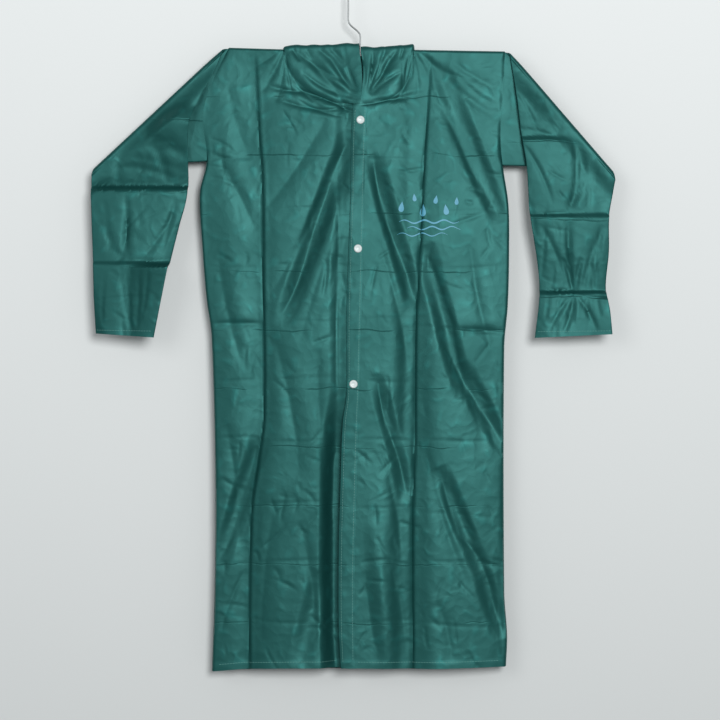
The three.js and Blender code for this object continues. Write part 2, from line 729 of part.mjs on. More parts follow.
// Where a point of the flat hood lies once it is folded back: along < 0 is the upright front
function hoodPlace(x, along, out) {
  const turn = clamp01(along / (Math.PI * HOOD_FOLD_RADIUS)) * Math.PI;
  const past = Math.max(along - Math.PI * HOOD_FOLD_RADIUS, 0);
  const reach = HOOD_FOLD_RADIUS - out;
  return new THREE.Vector3(
    x,
    HOOD_FOLD_RADIUS - reach * Math.cos(turn) + hoodDrift(Math.max(along, 0)),
    HOOD_FOLD_Z + Math.min(along, 0) + reach * Math.sin(turn) - past,
  );
}

function hoodGeometry(side) {
  const turnShares = evenShares(6).map((share) => share * Math.PI * HOOD_FOLD_RADIUS);
  const hangShares = [0.12, 0.28, 0.46, 0.64, 0.8, 0.91, 0.965, 0.992, 1];
  const endAt = (share) =>
    HOOD_LENGTH - HOOD_CROWN_DROP * (1 - Math.sqrt(Math.max(1 - share ** 3, 0)));
  const seamAt = (x) => Math.min(neckSeam(x) - HOOD_FOLD_Z, 0);
  // Half depth of the flat hood, front layer or back layer
  const depthAt = (x, along, share, front) => {
    const width = hoodWidth(side, along);
    const round = quarter((width - Math.abs(x)) / HOOD_END_ROLL);
    const end = quarter((endAt(share) - along) / 9);
    const hanging = hoodHalf(Math.max(along, 0)) * round * end;
    if (!front) {
      const seam = backAt(x, BACK_NECK_Z - SEAM);
      return mix(seam, hanging, smooth(along / 7));
    }
    const start = seamAt(x);
    const seam = frontAt(x, neckSeam(x) - SEAM);
    const risen = start < -1 ? clamp01(1 - along / start) : smooth(along / 3 + 1);
    const pleats = foldsAt(
      x,
      HOOD_FOLD_Z + along,
      HOOD_PLEATS.filter((pleat) => pleat.side === side),
    );
    return mix(seam, hanging, smooth(risen)) - pleats;
  };
  const outer = [];
  const inner = [];
  const addRow = (alongAt, last) => {
    const outerRow = [];
    const innerRow = [];
    const layers = [
      ...NECK_SHARES.map((share) => ({ share, front: true })),
      ...NECK_SHARES
        .slice(0, -1)
        .reverse()
        .map((share) => ({ share, front: false })),
    ];
    for (const { share, front } of layers) {
      const width = hoodWidth(side, Math.max(alongAt(share, front, 0), 0));
      const parted = front && !last;
      const gap = hoodSlit(Math.max(alongAt(share, front, 0), 0));
      const slit = parted ? Math.max(gap, SEAM / 2) : SEAM / 2;
      const x = side * mix(slit, width, share);
      const along = alongAt(share, front, x);
      const field = (px, pa) => depthAt(px, pa, share, front);
      const { outer: out, inner: back } = wallPoints(x, along, field, WALL);
      const sign = front ? -1 : 1;
      const innerDepth = share === 1 || last ? 0 : Math.max(back.depth, HOLLOW_LEAST);
      const outDepth = share === 1 || last ? 0 : out.depth;
      const innerX = share === 1 ? side * (width - WALL) : last ? x : back.x;
      const innerAlong = last ? along - WALL : share === 1 ? along : back.z;
      outerRow.push(hoodPlace(x, along, sign * outDepth));
      innerRow.push(hoodPlace(innerX, innerAlong, sign * innerDepth));
    }
    outer.push(outerRow);
    inner.push(innerRow);
  };
  for (const rise of [0, 0.25, 0.5, 0.75])
    addRow((share, front, x) => mix(front && share < 1 ? seamAt(x) : 0, 1, rise), false);
  addRow(() => 1, false);
  for (const along of turnShares) addRow(() => Math.max(along, 1.2), false);
  const turned = turnShares[turnShares.length - 1];
  for (const hang of hangShares)
    addRow((share) => mix(turned, endAt(share), hang), hang === 1);
  return wallGeometry(outer, inner, { closed: false, welded: true });
}

// Places across a flattened tube: bunched in the roll at each end
function tubeShares(length, roll) {
  const turns = [0, 0.3, 0.62, 1];
  const rolled = turns.map((turn) => (roll * (1 - Math.cos((Math.PI / 2) * turn))) / length);
  const middle = [0.25, 0.5, 0.75].map((share) => mix(roll, length - roll, share) / length);
  return [...rolled, ...middle, ...rolled.map((share) => 1 - share).reverse()];
}

function sleeveGeometry(sleeve) {
  const side = sleeve.side;
  const shoulder = side < 0 ? RIGHT_SHOULDER : LEFT_SHOULDER;
  const underarm = side < 0 ? RIGHT_UNDERARM : LEFT_UNDERARM;
  const edge = side < 0 ? rightEdge : leftEdge;
  const inner = curveThrough(sleeve.inner, "z", "x");
  const outer = curveThrough(sleeve.outer, "z", "x");
  const halfAt = curveThrough(sleeve.form, "along", "half");
  const middleAt = curveThrough(sleeve.form, "along", "middle");
  const rollAt = curveThrough(sleeve.form, "along", "roll");
  const runX = sleeve.foldTo.x - sleeve.foldFrom.x;
  const runZ = sleeve.foldTo.z - sleeve.foldFrom.z;
  const foldLength = Math.hypot(runX, runZ);
  const along = { x: runX / foldLength, z: runZ / foldLength };
  const out = { x: side * Math.abs(along.z), z: Math.abs(along.x) };
  const onFold = (point) =>
    ((point.x - sleeve.foldFrom.x) * runX + (point.z - sleeve.foldFrom.z) * runZ) / foldLength;
  const foldPoint = (distance) => ({
    x: sleeve.foldFrom.x + along.x * distance,
    z: sleeve.foldFrom.z + along.z * distance,
  });
  const bendRadius = (distance) => mix(BEND_RADIUS_TOP, BEND_RADIUS, quarter(clamp01(distance / 60)));
  const rootEnd = onFold(sleeve.rootEnd);
  const hangTop = onFold(sleeve.hangTop);
  const hangEnd = onFold({ x: outer(sleeve.outer[0].z), z: sleeve.outer[0].z });
  const armPoint = (share) => {
    const z = mix(shoulder.z, underarm.z, share);
    return { x: edge(z) + side * SEAM, z };
  };
  const between = (a, b, share) => ({ x: mix(a.x, b.x, share), z: mix(a.z, b.z, share) });

  // Each station gives the place of a share across it, moved by w from the middle of the tube
  const stations = [];
  for (const reach of [0, 0.12, 0.32, 0.55, 0.78, 1]) {
    stations.push({
      length: mix(shoulder.z - underarm.z, rootEnd, reach),
      roll: SLEEVE_END_ROLL,
      half: (share) =>
        SLEEVE_ROOT_DEPTH + mix(SLEEVE_ROOT_SWELL * Math.sin(Math.PI * share), 0.4, reach),
      place: (share, w) => {
        const point = between(armPoint(share), foldPoint(rootEnd * share), reach);
        return new THREE.Vector3(point.x, w, point.z);
      },
    });
  }
  for (const turn of evenShares(6)) {
    const start = hangTop * turn;
    const end = mix(rootEnd, hangEnd, turn);
    stations.push({
      length: end - start,
      roll: SLEEVE_END_ROLL,
      half: (share) => mix(SLEEVE_ROOT_DEPTH, SLEEVE_ROOT_DEPTH + 0.4, smooth(share * 8)),
      place: (share, w) => {
        const distance = mix(start, end, share);
        const radius = bendRadius(distance);
        const point = foldPoint(distance);
        const reach = (radius + w) * Math.sin(Math.PI * turn);
        return new THREE.Vector3(
          point.x + out.x * reach,
          (radius + w) * Math.cos(Math.PI * turn) - radius,
          point.z + out.z * reach,
        );
      },
    });
  }
  const innerEnds = [sleeve.inner[0].z, sleeve.inner[sleeve.inner.length - 1].z];
  const outerEnds = [sleeve.outer[0].z, sleeve.outer[sleeve.outer.length - 1].z];
  for (const hang of [0.04, 0.1, 0.18, 0.28, 0.38, 0.49, 0.6, 0.7, 0.8, 0.9, 1]) {
    const innerZ = mix(innerEnds[0], innerEnds[1], hang);
    const outerZ = mix(outerEnds[0], outerEnds[1], hang);
    const from = { x: inner(innerZ), z: innerZ };
    const to = { x: outer(outerZ), z: outerZ };
    const settle = smooth(hang / 0.2);
    stations.push({
      length: Math.hypot(to.x - from.x, to.z - from.z),
      roll: rollAt(hang),
      half: () => halfAt(hang),
      place: (share, w) => {
        const point = between(from, to, share);
        const bent = 2 * bendRadius(mix(hangTop, hangEnd, share));
        return new THREE.Vector3(point.x, -mix(bent, middleAt(hang), settle) - w, point.z);
      },
    });
  }

  const outerRows = [];
  const innerRows = [];
  for (const station of stations) {
    const shares = tubeShares(station.length, station.roll);
    const ring = [
      ...shares.map((share) => ({ share, sign: -1 })),
      ...shares
        .slice(1, -1)
        .reverse()
        .map((share) => ({ share, sign: 1 })),
    ];
    const field = (distance) => {
      const fromEnd = Math.min(distance, station.length - distance);
      return station.half(distance / station.length) * quarter(fromEnd / station.roll);
    };
    const outerRow = [];
    const innerRow = [];
    for (const { share, sign } of ring) {
      const distance = share * station.length;
      const { outer: flat, inner: back } = wallPoints(distance, 0, field, WALL);
      const atEnd = share === 0 || share === 1;
      const shift = share === 0 ? WALL : share === 1 ? -WALL : back.x - distance;
      const innerDepth = atEnd ? 0 : Math.max(back.depth, HOLLOW_LEAST);
      outerRow.push(station.place(share, sign * (atEnd ? 0 : flat.depth)));
      innerRow.push(station.place((distance + shift) / station.length, sign * innerDepth));
    }
    outerRows.push(outerRow);
    innerRows.push(innerRow);
  }
  return wallGeometry(outerRows, innerRows, { closed: true });
}

// Wire swept along a line of points
function wireGeometry(points, steps) {
  const path = new THREE.CatmullRomCurve3(points.map((p) => new THREE.Vector3(p.x, 0, p.z)));
  const section = new THREE.Shape();
  section.absarc(0, 0, WIRE_RADIUS, 0, 2 * Math.PI, false);
  const wire = new THREE.ExtrudeGeometry(section, {
    steps,
    curveSegments: 5,
    bevelEnabled: false,
    extrudePath: path,
  });
  wire.deleteAttribute("normal");
  wire.deleteAttribute("uv");
  return mergeVertices(wire, 1e-4);
}

// The hanger: a hook with a bent shank, joined to two level arms inside the shoulders
function hangerGeometry(manifold) {
  const shank = [
    { x: 0, z: -110 },
    { x: 0, z: -95 },
    { x: 0, z: -81 },
    { x: -2.4, z: -77 },
    { x: -14.2, z: -66.4 },
    { x: -HOOK_RADIUS, z: -61.6 },
    { x: -HOOK_RADIUS, z: -48 },
    { x: -HOOK_RADIUS, z: -30 },
  ];
  const arc = evenShares(12).map((share) => {
    const angle = Math.PI * (1 - share * 1.1);
    return {
      x: HOOK_RADIUS * Math.cos(angle),
      z: HOOK_CENTRE_Z + HOOK_RADIUS * Math.sin(angle),
    };
  });
  const arms = [
    { x: -178, z: -103.4 },
    { x: -107, z: -109.4 },
    { x: -50, z: -110 },
    { x: 30, z: -110 },
    { x: 75, z: -110.2 },
    { x: 196, z: -109 },
  ];
  const start = { x: -HOOK_RADIUS, z: HOOK_CENTRE_Z };
  const solids = [wireGeometry([...shank, start, ...arc], 36), wireGeometry(arms, 14)].map(
    (geometry) =>
      new manifold.Manifold(
        new manifold.Mesh({
          numProp: 3,
          vertProperties: new Float32Array(geometry.attributes.position.array),
          triVerts: new Uint32Array(geometry.index.array),
        }),
      ),
  );
  const joined = solids[0].add(solids[1]).getMesh();
  return facingOut(Array.from(joined.vertProperties), Array.from(joined.triVerts));
}

const wasm = await Module();
wasm.setup();

const coatFilm = new THREE.MeshStandardMaterial({
  color: COAT_COLOUR,
  roughness: 0.42,
  metalness: 0,
});
const snapPlastic = new THREE.MeshStandardMaterial({
  color: SNAP_COLOUR,
  roughness: 0.35,
  metalness: 0,
});
const wireSteel = new THREE.MeshStandardMaterial({
  color: WIRE_COLOUR,
  roughness: 0.35,
  metalness: 1,
});

const group = new THREE.Group();
const add = (name, geometry, material) => {
  const mesh = new THREE.Mesh(geometry, material);
  mesh.name = name;
  group.add(mesh);
};
add("front_right", frontRightGeometry(), coatFilm);
const frontLeft = frontLeftPoints();
add("front_left", wallGeometry(frontLeft.outer, frontLeft.inner, { closed: false }), coatFilm);
add("back", backGeometry(), coatFilm);
add("sleeve_right", sleeveGeometry(RIGHT_SLEEVE), coatFilm);
add("sleeve_left", sleeveGeometry(LEFT_SLEEVE), coatFilm);
add("hood_right", hoodGeometry(-1), coatFilm);
add("hood_left", hoodGeometry(1), coatFilm);
add("placket", placketGeometry(frontLeft), coatFilm);
for (const snap of SNAPS) add(snap.name, snapGeometry(snap), snapPlastic);
add("hanger", hangerGeometry(wasm), wireSteel);

export default group;
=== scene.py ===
# %% [markdown]
# # A raincoat of coated film on its wire hanger
#
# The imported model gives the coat's form: two fronts, a back, two sleeves, a hood in two halves, a snap
# band, three snaps and a wire hanger. Here each cloth solid is replaced by a thin shell of film on the
# same form, and gets the creases that packing and hanging have left in it.
#
# Lengths in this script are millimetres until a mesh is made, and +Z is up. The front faces -Y.

# %% Tools and the frame
import math

import bpy
import numpy as np
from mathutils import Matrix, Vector


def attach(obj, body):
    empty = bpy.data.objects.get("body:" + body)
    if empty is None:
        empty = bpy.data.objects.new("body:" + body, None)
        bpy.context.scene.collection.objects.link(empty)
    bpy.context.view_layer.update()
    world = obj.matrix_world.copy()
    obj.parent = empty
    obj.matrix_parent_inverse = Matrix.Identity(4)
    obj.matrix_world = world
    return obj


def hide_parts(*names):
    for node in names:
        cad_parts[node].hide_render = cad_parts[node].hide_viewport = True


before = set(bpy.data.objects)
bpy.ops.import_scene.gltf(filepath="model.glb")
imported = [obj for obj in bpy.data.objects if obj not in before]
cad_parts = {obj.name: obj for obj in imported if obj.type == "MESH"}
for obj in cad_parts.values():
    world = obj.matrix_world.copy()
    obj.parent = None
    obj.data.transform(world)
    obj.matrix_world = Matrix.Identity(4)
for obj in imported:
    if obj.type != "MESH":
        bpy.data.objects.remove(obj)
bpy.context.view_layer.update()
bpy.ops.object.select_all(action="DESELECT")

# %% [markdown]
# ## Sizes of the coat
#
# The outlines below are the ones that the solids are made from, so the film lies where they lie. Rows
# run down the coat as (height, value), and those of a hem run across it.

# %% Outline, opening and depth
FILM = 0.4
BAND_FILM = 0.7
EDGE_ROLL = 2.4
SEAM_ROLL = 3.5
LEAST_DEPTH = 2
DEPTH_EASE = 1.4
HALF_WIDTH = 215
FRONT_LENS = 0.76
BACK_LENS = 0.66
SEAM = 0.1
STEP = 0.05
RIGHT_OUTLINE = [
    (-99.4, -183.4), (-137, -202.4), (-189, -219.6), (-258.3, -214.2), (-301, -223.6), (-385, -219.8),
    (-452, -214.2), (-503, -207.4), (-704, -202), (-855, -203), (-971.6, -206.8),
]
LEFT_OUTLINE = [
    (-104.6, 202.4), (-137, 201.6), (-221, 196.7), (-264.2, 199.6), (-318, 207.4), (-385, 208.4),
    (-459, 206.6), (-519, 201.6), (-860, 201.6), (-922, 205.6), (-964.4, 204),
]
FRONT_HEM = [(-207, -971.4), (-150, -967), (-30, -965.6), (100, -966.6), (204, -964.4)]
BACK_HEM = [(-207, -971.4), (-100, -968.6), (30, -969.4), (150, -969), (204, -964.4)]
THROAT_Z = -177.8
RIGHT_CORNER = (-107.2, -101.7, 2.0)
LEFT_CORNER = (75.4, -102.3, 2.4)
BACK_NECK_Z = -101.7
RIGHT_SHOULDER = (-183.4, -99.4)
LEFT_SHOULDER = (202.4, -104.6)
RIGHT_UNDERARM = (-214.2, -258.3)
LEFT_UNDERARM = (199.6, -264.2)
CHEST_Z = -200
HEM_Z = -970
OPENING_EDGE = [
    (-176, -9.2), (-227, -12), (-323, -13.2), (-385, -15.7), (-476, -18.4), (-584, -18.6), (-624, -23.9),
    (-707, -27), (-799, -29.4), (-907, -29.4), (-972, -26),
]
BAND_EDGE = [(-176, 10.2), (-263, 7), (-461, 2.5), (-816, -7), (-972, -7)]
OVERLAP = 22
SNAPS = [(0.7, -200.9), (-2.8, -380.8), (-9.1, -569.8)]
FRONT_DEPTH = [(-95, 4.6), (-180, 7.6), (-258, 10), (-420, 14), (-700, 18), (-975, 21)]
BACK_DEPTH = [(-95, 4.65), (-180, 5.4), (-350, 7.2), (-500, 10), (-975, 13)]
RIGHT_CREASE = [
    (-95, -146.4), (-120, -145.6), (-232, -140), (-279, -136.4), (-414, -135.4), (-615, -134),
    (-676, -141.7), (-738, -150.4), (-855, -154), (-975, -154),
]
LEFT_CREASE = [
    (-95, 101), (-160, 96.6), (-276, 89), (-409, 83), (-476, 78.4), (-645, 77), (-753, 73.9), (-975, 73.9),
]

# %% [markdown]
# ## Folds and creases
#
# Long drag folds hang from the shoulders and the snaps. Each row is (from x, from z, to x, to z, depth,
# reach) in millimetres, and sinks softly, or rises where its depth is below 0.

# %% Drag folds
FRONT_FOLDS = [
    (-12, -215, -109, -490, 8, 19), (6, -250, -84, -500, -3, 18), (108, -120, 197, -345, 7, 19),
    (90, -375, 146, -590, 7, 19), (140, -540, 204, -668, 6, 19), (16, -248, 80, -470, 6, 17),
    (22, -555, 67, -735, 5, 16), (-138, -645, -200, -830, 6, 18), (110, -685, 168, -830, 6, 18),
    (160, -800, 200, -925, 5, 18), (-56, -830, -84, -965, 4, 20), (22, -760, 40, -965, -3, 22),
]
BACK_FOLDS = [
    (-60, -420, -96, -965, 4, 24), (70, -400, 92, -965, 4, 24), (-176, -330, -150, -720, 3.5, 22),
    (150, -380, 170, -860, 3.5, 22), (6, -560, 10, -968, -2.5, 26),
]

# %% [markdown]
# The sharper creases come from the way the coat was folded for its bag: upright lines, level lines about
# 80 mm apart, and small crumples where they meet. They are drawn on a grid of 1.4 mm cells that starts
# left of the sleeve and above the hook. Each row is (from column, from row, to column, to row, bow,
# depth, reach, lip): bow in cells, the rest in millimetres. The lip is a rise on the left of the way
# from the start to the end.

# %% Creases of the fronts
CELL = 1.4
GRID_LEFT = 360
GRID_TOP = 23
LIP_SHARE = 0.3
LEVEL_SHARE = 0.42
FRONT_CREASES = [
    (351, 139, 331, 180, -2, 1.6, 3.4, 1.1), (331, 180, 316, 223, 1, 1.9, 3.8, 1.2),
    (316, 223, 310, 245, 0, 1.5, 3.2, 1.0), (310, 245, 282, 315, 3, 1.8, 4.0, 1.2),
    (327, 258, 323, 297, 1, 1.5, 2.8, 1.0), (374, 163, 383, 221, -1, 1.5, 3.0, 0.9),
    (383, 217, 396, 250, 1, 1.2, 2.8, 0.7), (394, 243, 415, 304, 2, 1.5, 3.4, 0.9),
    (440, 76, 461, 126, -1, 1.9, 4.0, 1.2), (461, 124, 483, 176, 2, 1.7, 3.8, 1.1),
    (480, 170, 500, 218, -2, 1.5, 3.4, 1.0), (424, 60, 457, 76, -2, 1.3, 4.2, 0.6),
    (455, 73, 498, 107, -3, 1.4, 4.4, 0.7), (427, 255, 444, 303, 1, 1.4, 3.2, 0.9),
    (443, 299, 454, 330, 0, 1.4, 3.2, 0.9), (452, 322, 465, 386, -2, 1.5, 3.6, 0.9),
    (462, 380, 480, 412, 1, 1.3, 3.2, 0.9), (478, 408, 503, 446, 2, 1.4, 3.6, 0.9),
    (378, 381, 386, 429, -1, 1.4, 3.0, 0.9), (386, 425, 407, 495, 2, 1.3, 3.2, 0.8),
    (257, 446, 247, 484, 1, 1.5, 3.2, 1.0), (248, 480, 235, 528, -1, 1.5, 3.4, 1.0),
    (236, 522, 218, 562, 2, 1.3, 3.4, 0.9), (246, 569, 221, 634, -3, 1.2, 3.6, 0.8),
    (287, 523, 259, 549, 2, 1.2, 3.0, 0.8), (441, 471, 459, 539, -2, 1.3, 3.2, 0.9),
    (458, 536, 481, 561, 2, 1.4, 3.2, 0.9), (478, 559, 503, 567, -1, 1.2, 3.0, 0.8),
    (479, 558, 492, 594, 1, 1.3, 3.2, 0.8), (491, 590, 502, 631, -1, 1.2, 3.2, 0.8),
    (360, 562, 388, 559, 1, 0.9, 2.4, 0.6), (384, 557, 412, 564, -1, 0.8, 2.4, 0.6),
    (309, 613, 336, 641, 1, 1.0, 2.6, 0.7), (334, 612, 312, 640, -1, 0.9, 2.4, 0.6),
    (306, 627, 340, 628, 1, 0.8, 2.2, 0.6), (495, 193, 486, 211, 1, 1.0, 2.2, 0.6),
    (208, 139, 232, 150, 2, 1.0, 2.6, 0.7), (210, 152, 236, 160, -2, 1.1, 2.4, 0.7),
    (206, 165, 230, 172, 1, 0.9, 2.4, 0.6), (211, 178, 236, 187, 2, 1.0, 2.6, 0.7),
    (222, 140, 228, 186, -2, 0.8, 2.4, 0.6), (492, 110, 505, 118, 1, 0.8, 2.2, 0.5),
    (489, 131, 506, 136, -1, 0.9, 2.2, 0.5), (491, 150, 506, 158, 1, 0.8, 2.2, 0.5),
    (487, 172, 506, 176, -1, 0.9, 2.4, 0.5), (337, 163, 337.5, 282, 1, 0.9, 2.2, 0.5),
    (337.5, 280, 337, 402, -1, 1.0, 2.2, 0.6), (501, 448, 501, 556, 1, 1.3, 2.6, 0.0),
    (501, 552, 502, 654, -1, 1.3, 2.6, 0.0), (359, 106, 393, 99, -1, 1.0, 2.2, 0.6),
    (391, 100, 429, 92, 1, 1.0, 2.4, 0.6), (284, 50, 264, 86, 1, 1.1, 3.0, 0.7),
    (285, 50, 297, 64, 0, 0.9, 2.4, 0.5), (266, 85, 304, 92, -2, 2.6, 4.4, 0.9),
    (302, 91, 337, 105, 1, 2.6, 3.8, 0.9), (334, 103, 353, 113, 0, 2.0, 3.0, 0.7),
    (413, 52, 411, 80, 1, 1.0, 2.6, 0.6), (416, 52, 424, 78, -1, 0.9, 2.6, 0.5),
    (352, 105, 338, 118, 0, 0.8, 2.0, 0.5), (352, 106, 345, 128, 0, 0.8, 2.0, 0.5),
    (352, 104, 328, 110, 1, 0.8, 2.0, 0.5), (399, 95, 410, 104, 0, 0.7, 2.0, 0.4),
    (399, 95, 402, 110, 0, 0.7, 2.0, 0.4),
]
BROAD_FOLDS = [
    (428, 60, 500, 120, -4, 2.8, 9, 1.9), (432, 92, 480, 196, 3, 3.2, 9, 2.2),
    (452, 62, 508, 92, -3, 2.0, 8, 1.3), (446, 110, 500, 214, 4, 2.2, 8, 1.5),
    (338, 150, 268, 300, 5, 2.6, 10, 1.8), (326, 118, 262, 214, 3, 2.0, 9, 1.4),
    (346, 210, 300, 342, -3, 2.2, 9, 1.5), (372, 150, 410, 300, -4, 2.6, 9, 1.8),
    (378, 240, 408, 372, 4, 1.8, 8, 1.2), (228, 84, 250, 160, -3, 2.2, 9, 1.4),
    (214, 150, 256, 232, 2, 2.0, 8, 1.4), (218, 250, 246, 372, -4, 2.0, 10, 1.3),
    (272, 330, 300, 480, 5, 1.8, 11, 1.2), (318, 350, 330, 520, -3, 1.8, 10, 1.2),
    (436, 330, 486, 450, 4, 2.4, 10, 1.6), (424, 440, 470, 592, -5, 2.2, 11, 1.5),
    (372, 410, 402, 560, 4, 2.2, 10, 1.5), (276, 500, 262, 650, -4, 2.0, 11, 1.3),
    (300, 520, 318, 660, 4, 2.0, 11, 1.3), (226, 420, 240, 560, 4, 1.8, 9, 1.2),
    (366, 570, 380, 662, -3, 1.8, 10, 1.2), (436, 600, 452, 662, 3, 1.8, 10, 1.2),
    (470, 240, 494, 360, -4, 2.0, 9, 1.3), (398, 590, 406, 664, 2, 1.4, 8, 1.0),
]
LEVEL_CREASES = [
    (210, 324, 264, 324, 0, 4.2, 7, 3.6), (456, 330, 506, 332, 0, 4.4, 7, 3.8),
    (264, 97, 300, 99, 1, 0.7, 2.2, 0.5), (430, 97, 497, 99, -2, 0.7, 2.4, 0.5),
    (212, 158, 258, 160, 1, 0.8, 2.4, 0.6), (266, 160, 328, 158, -2, 0.6, 2.2, 0.4),
    (356, 160, 423, 161, 1, 1.0, 2.2, 0.8), (262, 211, 350, 209, 2, 0.9, 2.2, 0.7),
    (366, 212, 418, 210, -1, 0.6, 2.0, 0.4), (430, 214, 500, 211, 1, 0.6, 2.4, 0.4),
    (210, 266, 262, 267, -1, 1.0, 2.4, 0.7), (268, 265, 345, 268, 2, 0.7, 2.2, 0.5),
    (364, 266, 418, 265, 1, 0.7, 2.2, 0.5), (424, 268, 505, 265, -2, 0.8, 2.4, 0.6),
    (211, 324, 264, 324, 1, 1.5, 2.6, 1.2), (266, 319, 344, 321, -1, 0.7, 2.2, 0.5),
    (362, 320, 412, 318, 1, 0.6, 2.2, 0.4), (418, 325, 458, 328, -1, 0.8, 2.2, 0.6),
    (456, 329, 505, 333, 1, 1.5, 2.6, 1.2), (214, 380, 262, 379, -1, 0.9, 2.4, 0.7),
    (266, 381, 343, 378, 2, 0.7, 2.2, 0.5), (362, 380, 413, 382, -1, 0.9, 2.2, 0.6),
    (420, 379, 502, 383, 2, 0.7, 2.4, 0.5), (215, 439, 262, 437, 1, 1.0, 2.4, 0.7),
    (266, 440, 338, 438, -2, 0.9, 2.2, 0.6), (358, 439, 414, 441, 1, 0.9, 2.2, 0.6),
    (418, 438, 502, 440, -2, 1.0, 2.4, 0.7), (216, 498, 254, 501, 1, 0.7, 2.2, 0.5),
    (256, 505, 338, 502, 2, 0.9, 2.4, 0.6), (356, 507, 412, 505, -1, 0.8, 2.2, 0.6),
    (416, 512, 501, 519, 2, 0.8, 2.4, 0.6), (216, 561, 250, 562, -1, 0.9, 2.4, 0.6),
    (254, 562, 336, 559, 1, 1.0, 2.4, 0.7), (414, 561, 502, 563, 1, 0.9, 2.4, 0.6),
    (215, 614, 248, 618, 1, 0.8, 2.4, 0.6), (252, 618, 310, 621, -2, 0.9, 2.4, 0.7),
    (356, 622, 412, 619, 1, 0.8, 2.4, 0.6), (416, 620, 503, 626, -2, 0.9, 2.4, 0.6),
]

# %% [markdown]
# The back and the far sides of the sleeves and of the hood aren't seen from the front, but they were
# folded in the same bag, so they get creases of the same kinds. The neck's creases lie on the fronts
# and run on over the hood as its pleats.

# %% Creases of the back, the sleeves and the hood
BACK_CREASES = [
    (266, 150, 262, 300, 1, 1.2, 2.6, 0.8), (262, 296, 263, 452, -1, 1.1, 2.6, 0.8),
    (259, 448, 251, 660, 2, 1.2, 2.6, 0.8), (425, 140, 419, 290, 1, 1.3, 2.4, 0.8),
    (418, 286, 415, 470, -1, 1.2, 2.4, 0.8), (415, 466, 413, 664, 1, 1.2, 2.4, 0.8),
    (341, 270, 343, 470, 2, 0.9, 2.4, 0.6), (343, 466, 340, 662, -1, 0.9, 2.4, 0.6),
    (214, 212, 300, 209, 1, 0.9, 2.4, 0.6), (300, 211, 420, 213, -2, 0.7, 2.4, 0.5),
    (424, 212, 500, 209, 1, 0.9, 2.4, 0.6), (212, 267, 262, 266, 1, 1.0, 2.4, 0.7),
    (268, 322, 418, 319, 2, 0.9, 2.4, 0.6), (424, 324, 502, 327, -1, 1.2, 2.4, 0.9),
    (213, 324, 262, 323, 1, 1.3, 2.4, 0.9), (216, 381, 340, 379, 1, 0.9, 2.4, 0.6),
    (346, 380, 500, 383, -2, 0.9, 2.4, 0.6), (216, 440, 336, 437, 2, 1.0, 2.4, 0.7),
    (344, 438, 412, 440, 1, 0.9, 2.4, 0.6), (420, 439, 500, 441, -1, 1.0, 2.4, 0.7),
    (216, 505, 340, 501, -2, 0.8, 2.4, 0.6), (348, 506, 500, 512, 2, 0.9, 2.4, 0.6),
    (216, 562, 338, 560, 1, 1.0, 2.4, 0.7), (346, 561, 500, 564, -2, 0.9, 2.4, 0.6),
    (216, 616, 250, 618, 1, 0.9, 2.4, 0.6), (256, 620, 410, 617, 2, 0.8, 2.4, 0.6),
    (418, 621, 500, 624, -1, 0.9, 2.4, 0.6), (230, 150, 262, 250, 2, 1.4, 3.8, 0.9),
    (486, 160, 452, 268, -2, 1.4, 3.8, 0.9), (300, 330, 282, 436, 1, 1.3, 3.6, 0.8),
    (396, 340, 408, 452, -1, 1.3, 3.6, 0.8), (372, 470, 384, 560, 1, 1.2, 3.4, 0.8),
    (300, 520, 288, 640, -2, 1.2, 3.6, 0.8), (470, 480, 488, 600, 2, 1.2, 3.6, 0.8),
]
RIGHT_SLEEVE_CREASES = [
    (120, 128, 188, 156, 2, 2.4, 9, 1.2), (126, 196, 122, 262, 4, 1.8, 5, 1.4),
    (130, 215, 131, 264, -3, 1.6, 4, 1.2), (100, 222, 122, 262, 1, 1.4, 4, 1.0),
    (180, 200, 140, 262, 4, 1.8, 6, 1.3), (126, 264, 134, 340, 0, 1.2, 2.4, 0.6),
    (140, 268, 137, 334, 2, 1.4, 4, 1.0), (128, 132, 118, 186, -3, 1.8, 6, 1.3),
    (146, 134, 168, 184, 4, 2.0, 6, 1.4), (112, 168, 176, 180, 5, 1.6, 5, 1.1),
    (146, 115, 189, 127, 2, 1.3, 3.2, 0.9), (128, 140, 188, 152, -3, 1.2, 3.4, 0.8),
    (112, 156, 186, 172, 3, 1.1, 3.4, 0.8), (150, 150, 132, 186, 2, 1.0, 3.0, 0.7),
    (93, 188, 140, 193, 2, 1.4, 2.6, 1.0), (138, 192, 188, 187, -1, 1.3, 2.6, 1.0),
    (94, 264, 136, 262, -1, 1.3, 2.4, 1.0), (134, 262, 172, 265, 1, 1.2, 2.4, 0.9),
    (128, 192, 124, 262, 1, 0.9, 2.6, 0.6), (122, 264, 131, 330, -1, 1.0, 2.6, 0.7),
    (176, 198, 160, 258, 2, 1.2, 3.0, 0.8), (104, 200, 112, 256, 1, 0.8, 3.0, 0.5),
    (150, 268, 143, 322, 1, 1.1, 2.8, 0.7), (106, 272, 104, 326, -1, 0.9, 2.6, 0.6),
    (150, 205, 128, 230, -1, 0.7, 2.6, 0.4), (112, 232, 150, 246, 2, 0.7, 2.6, 0.4),
    (168, 140, 186, 160, 1, 0.9, 2.6, 0.6), (206, 86, 190, 118, 1, 1.0, 3.0, 0.6),
    (100, 300, 152, 297, 1, 0.6, 2.2, 0.4),
]
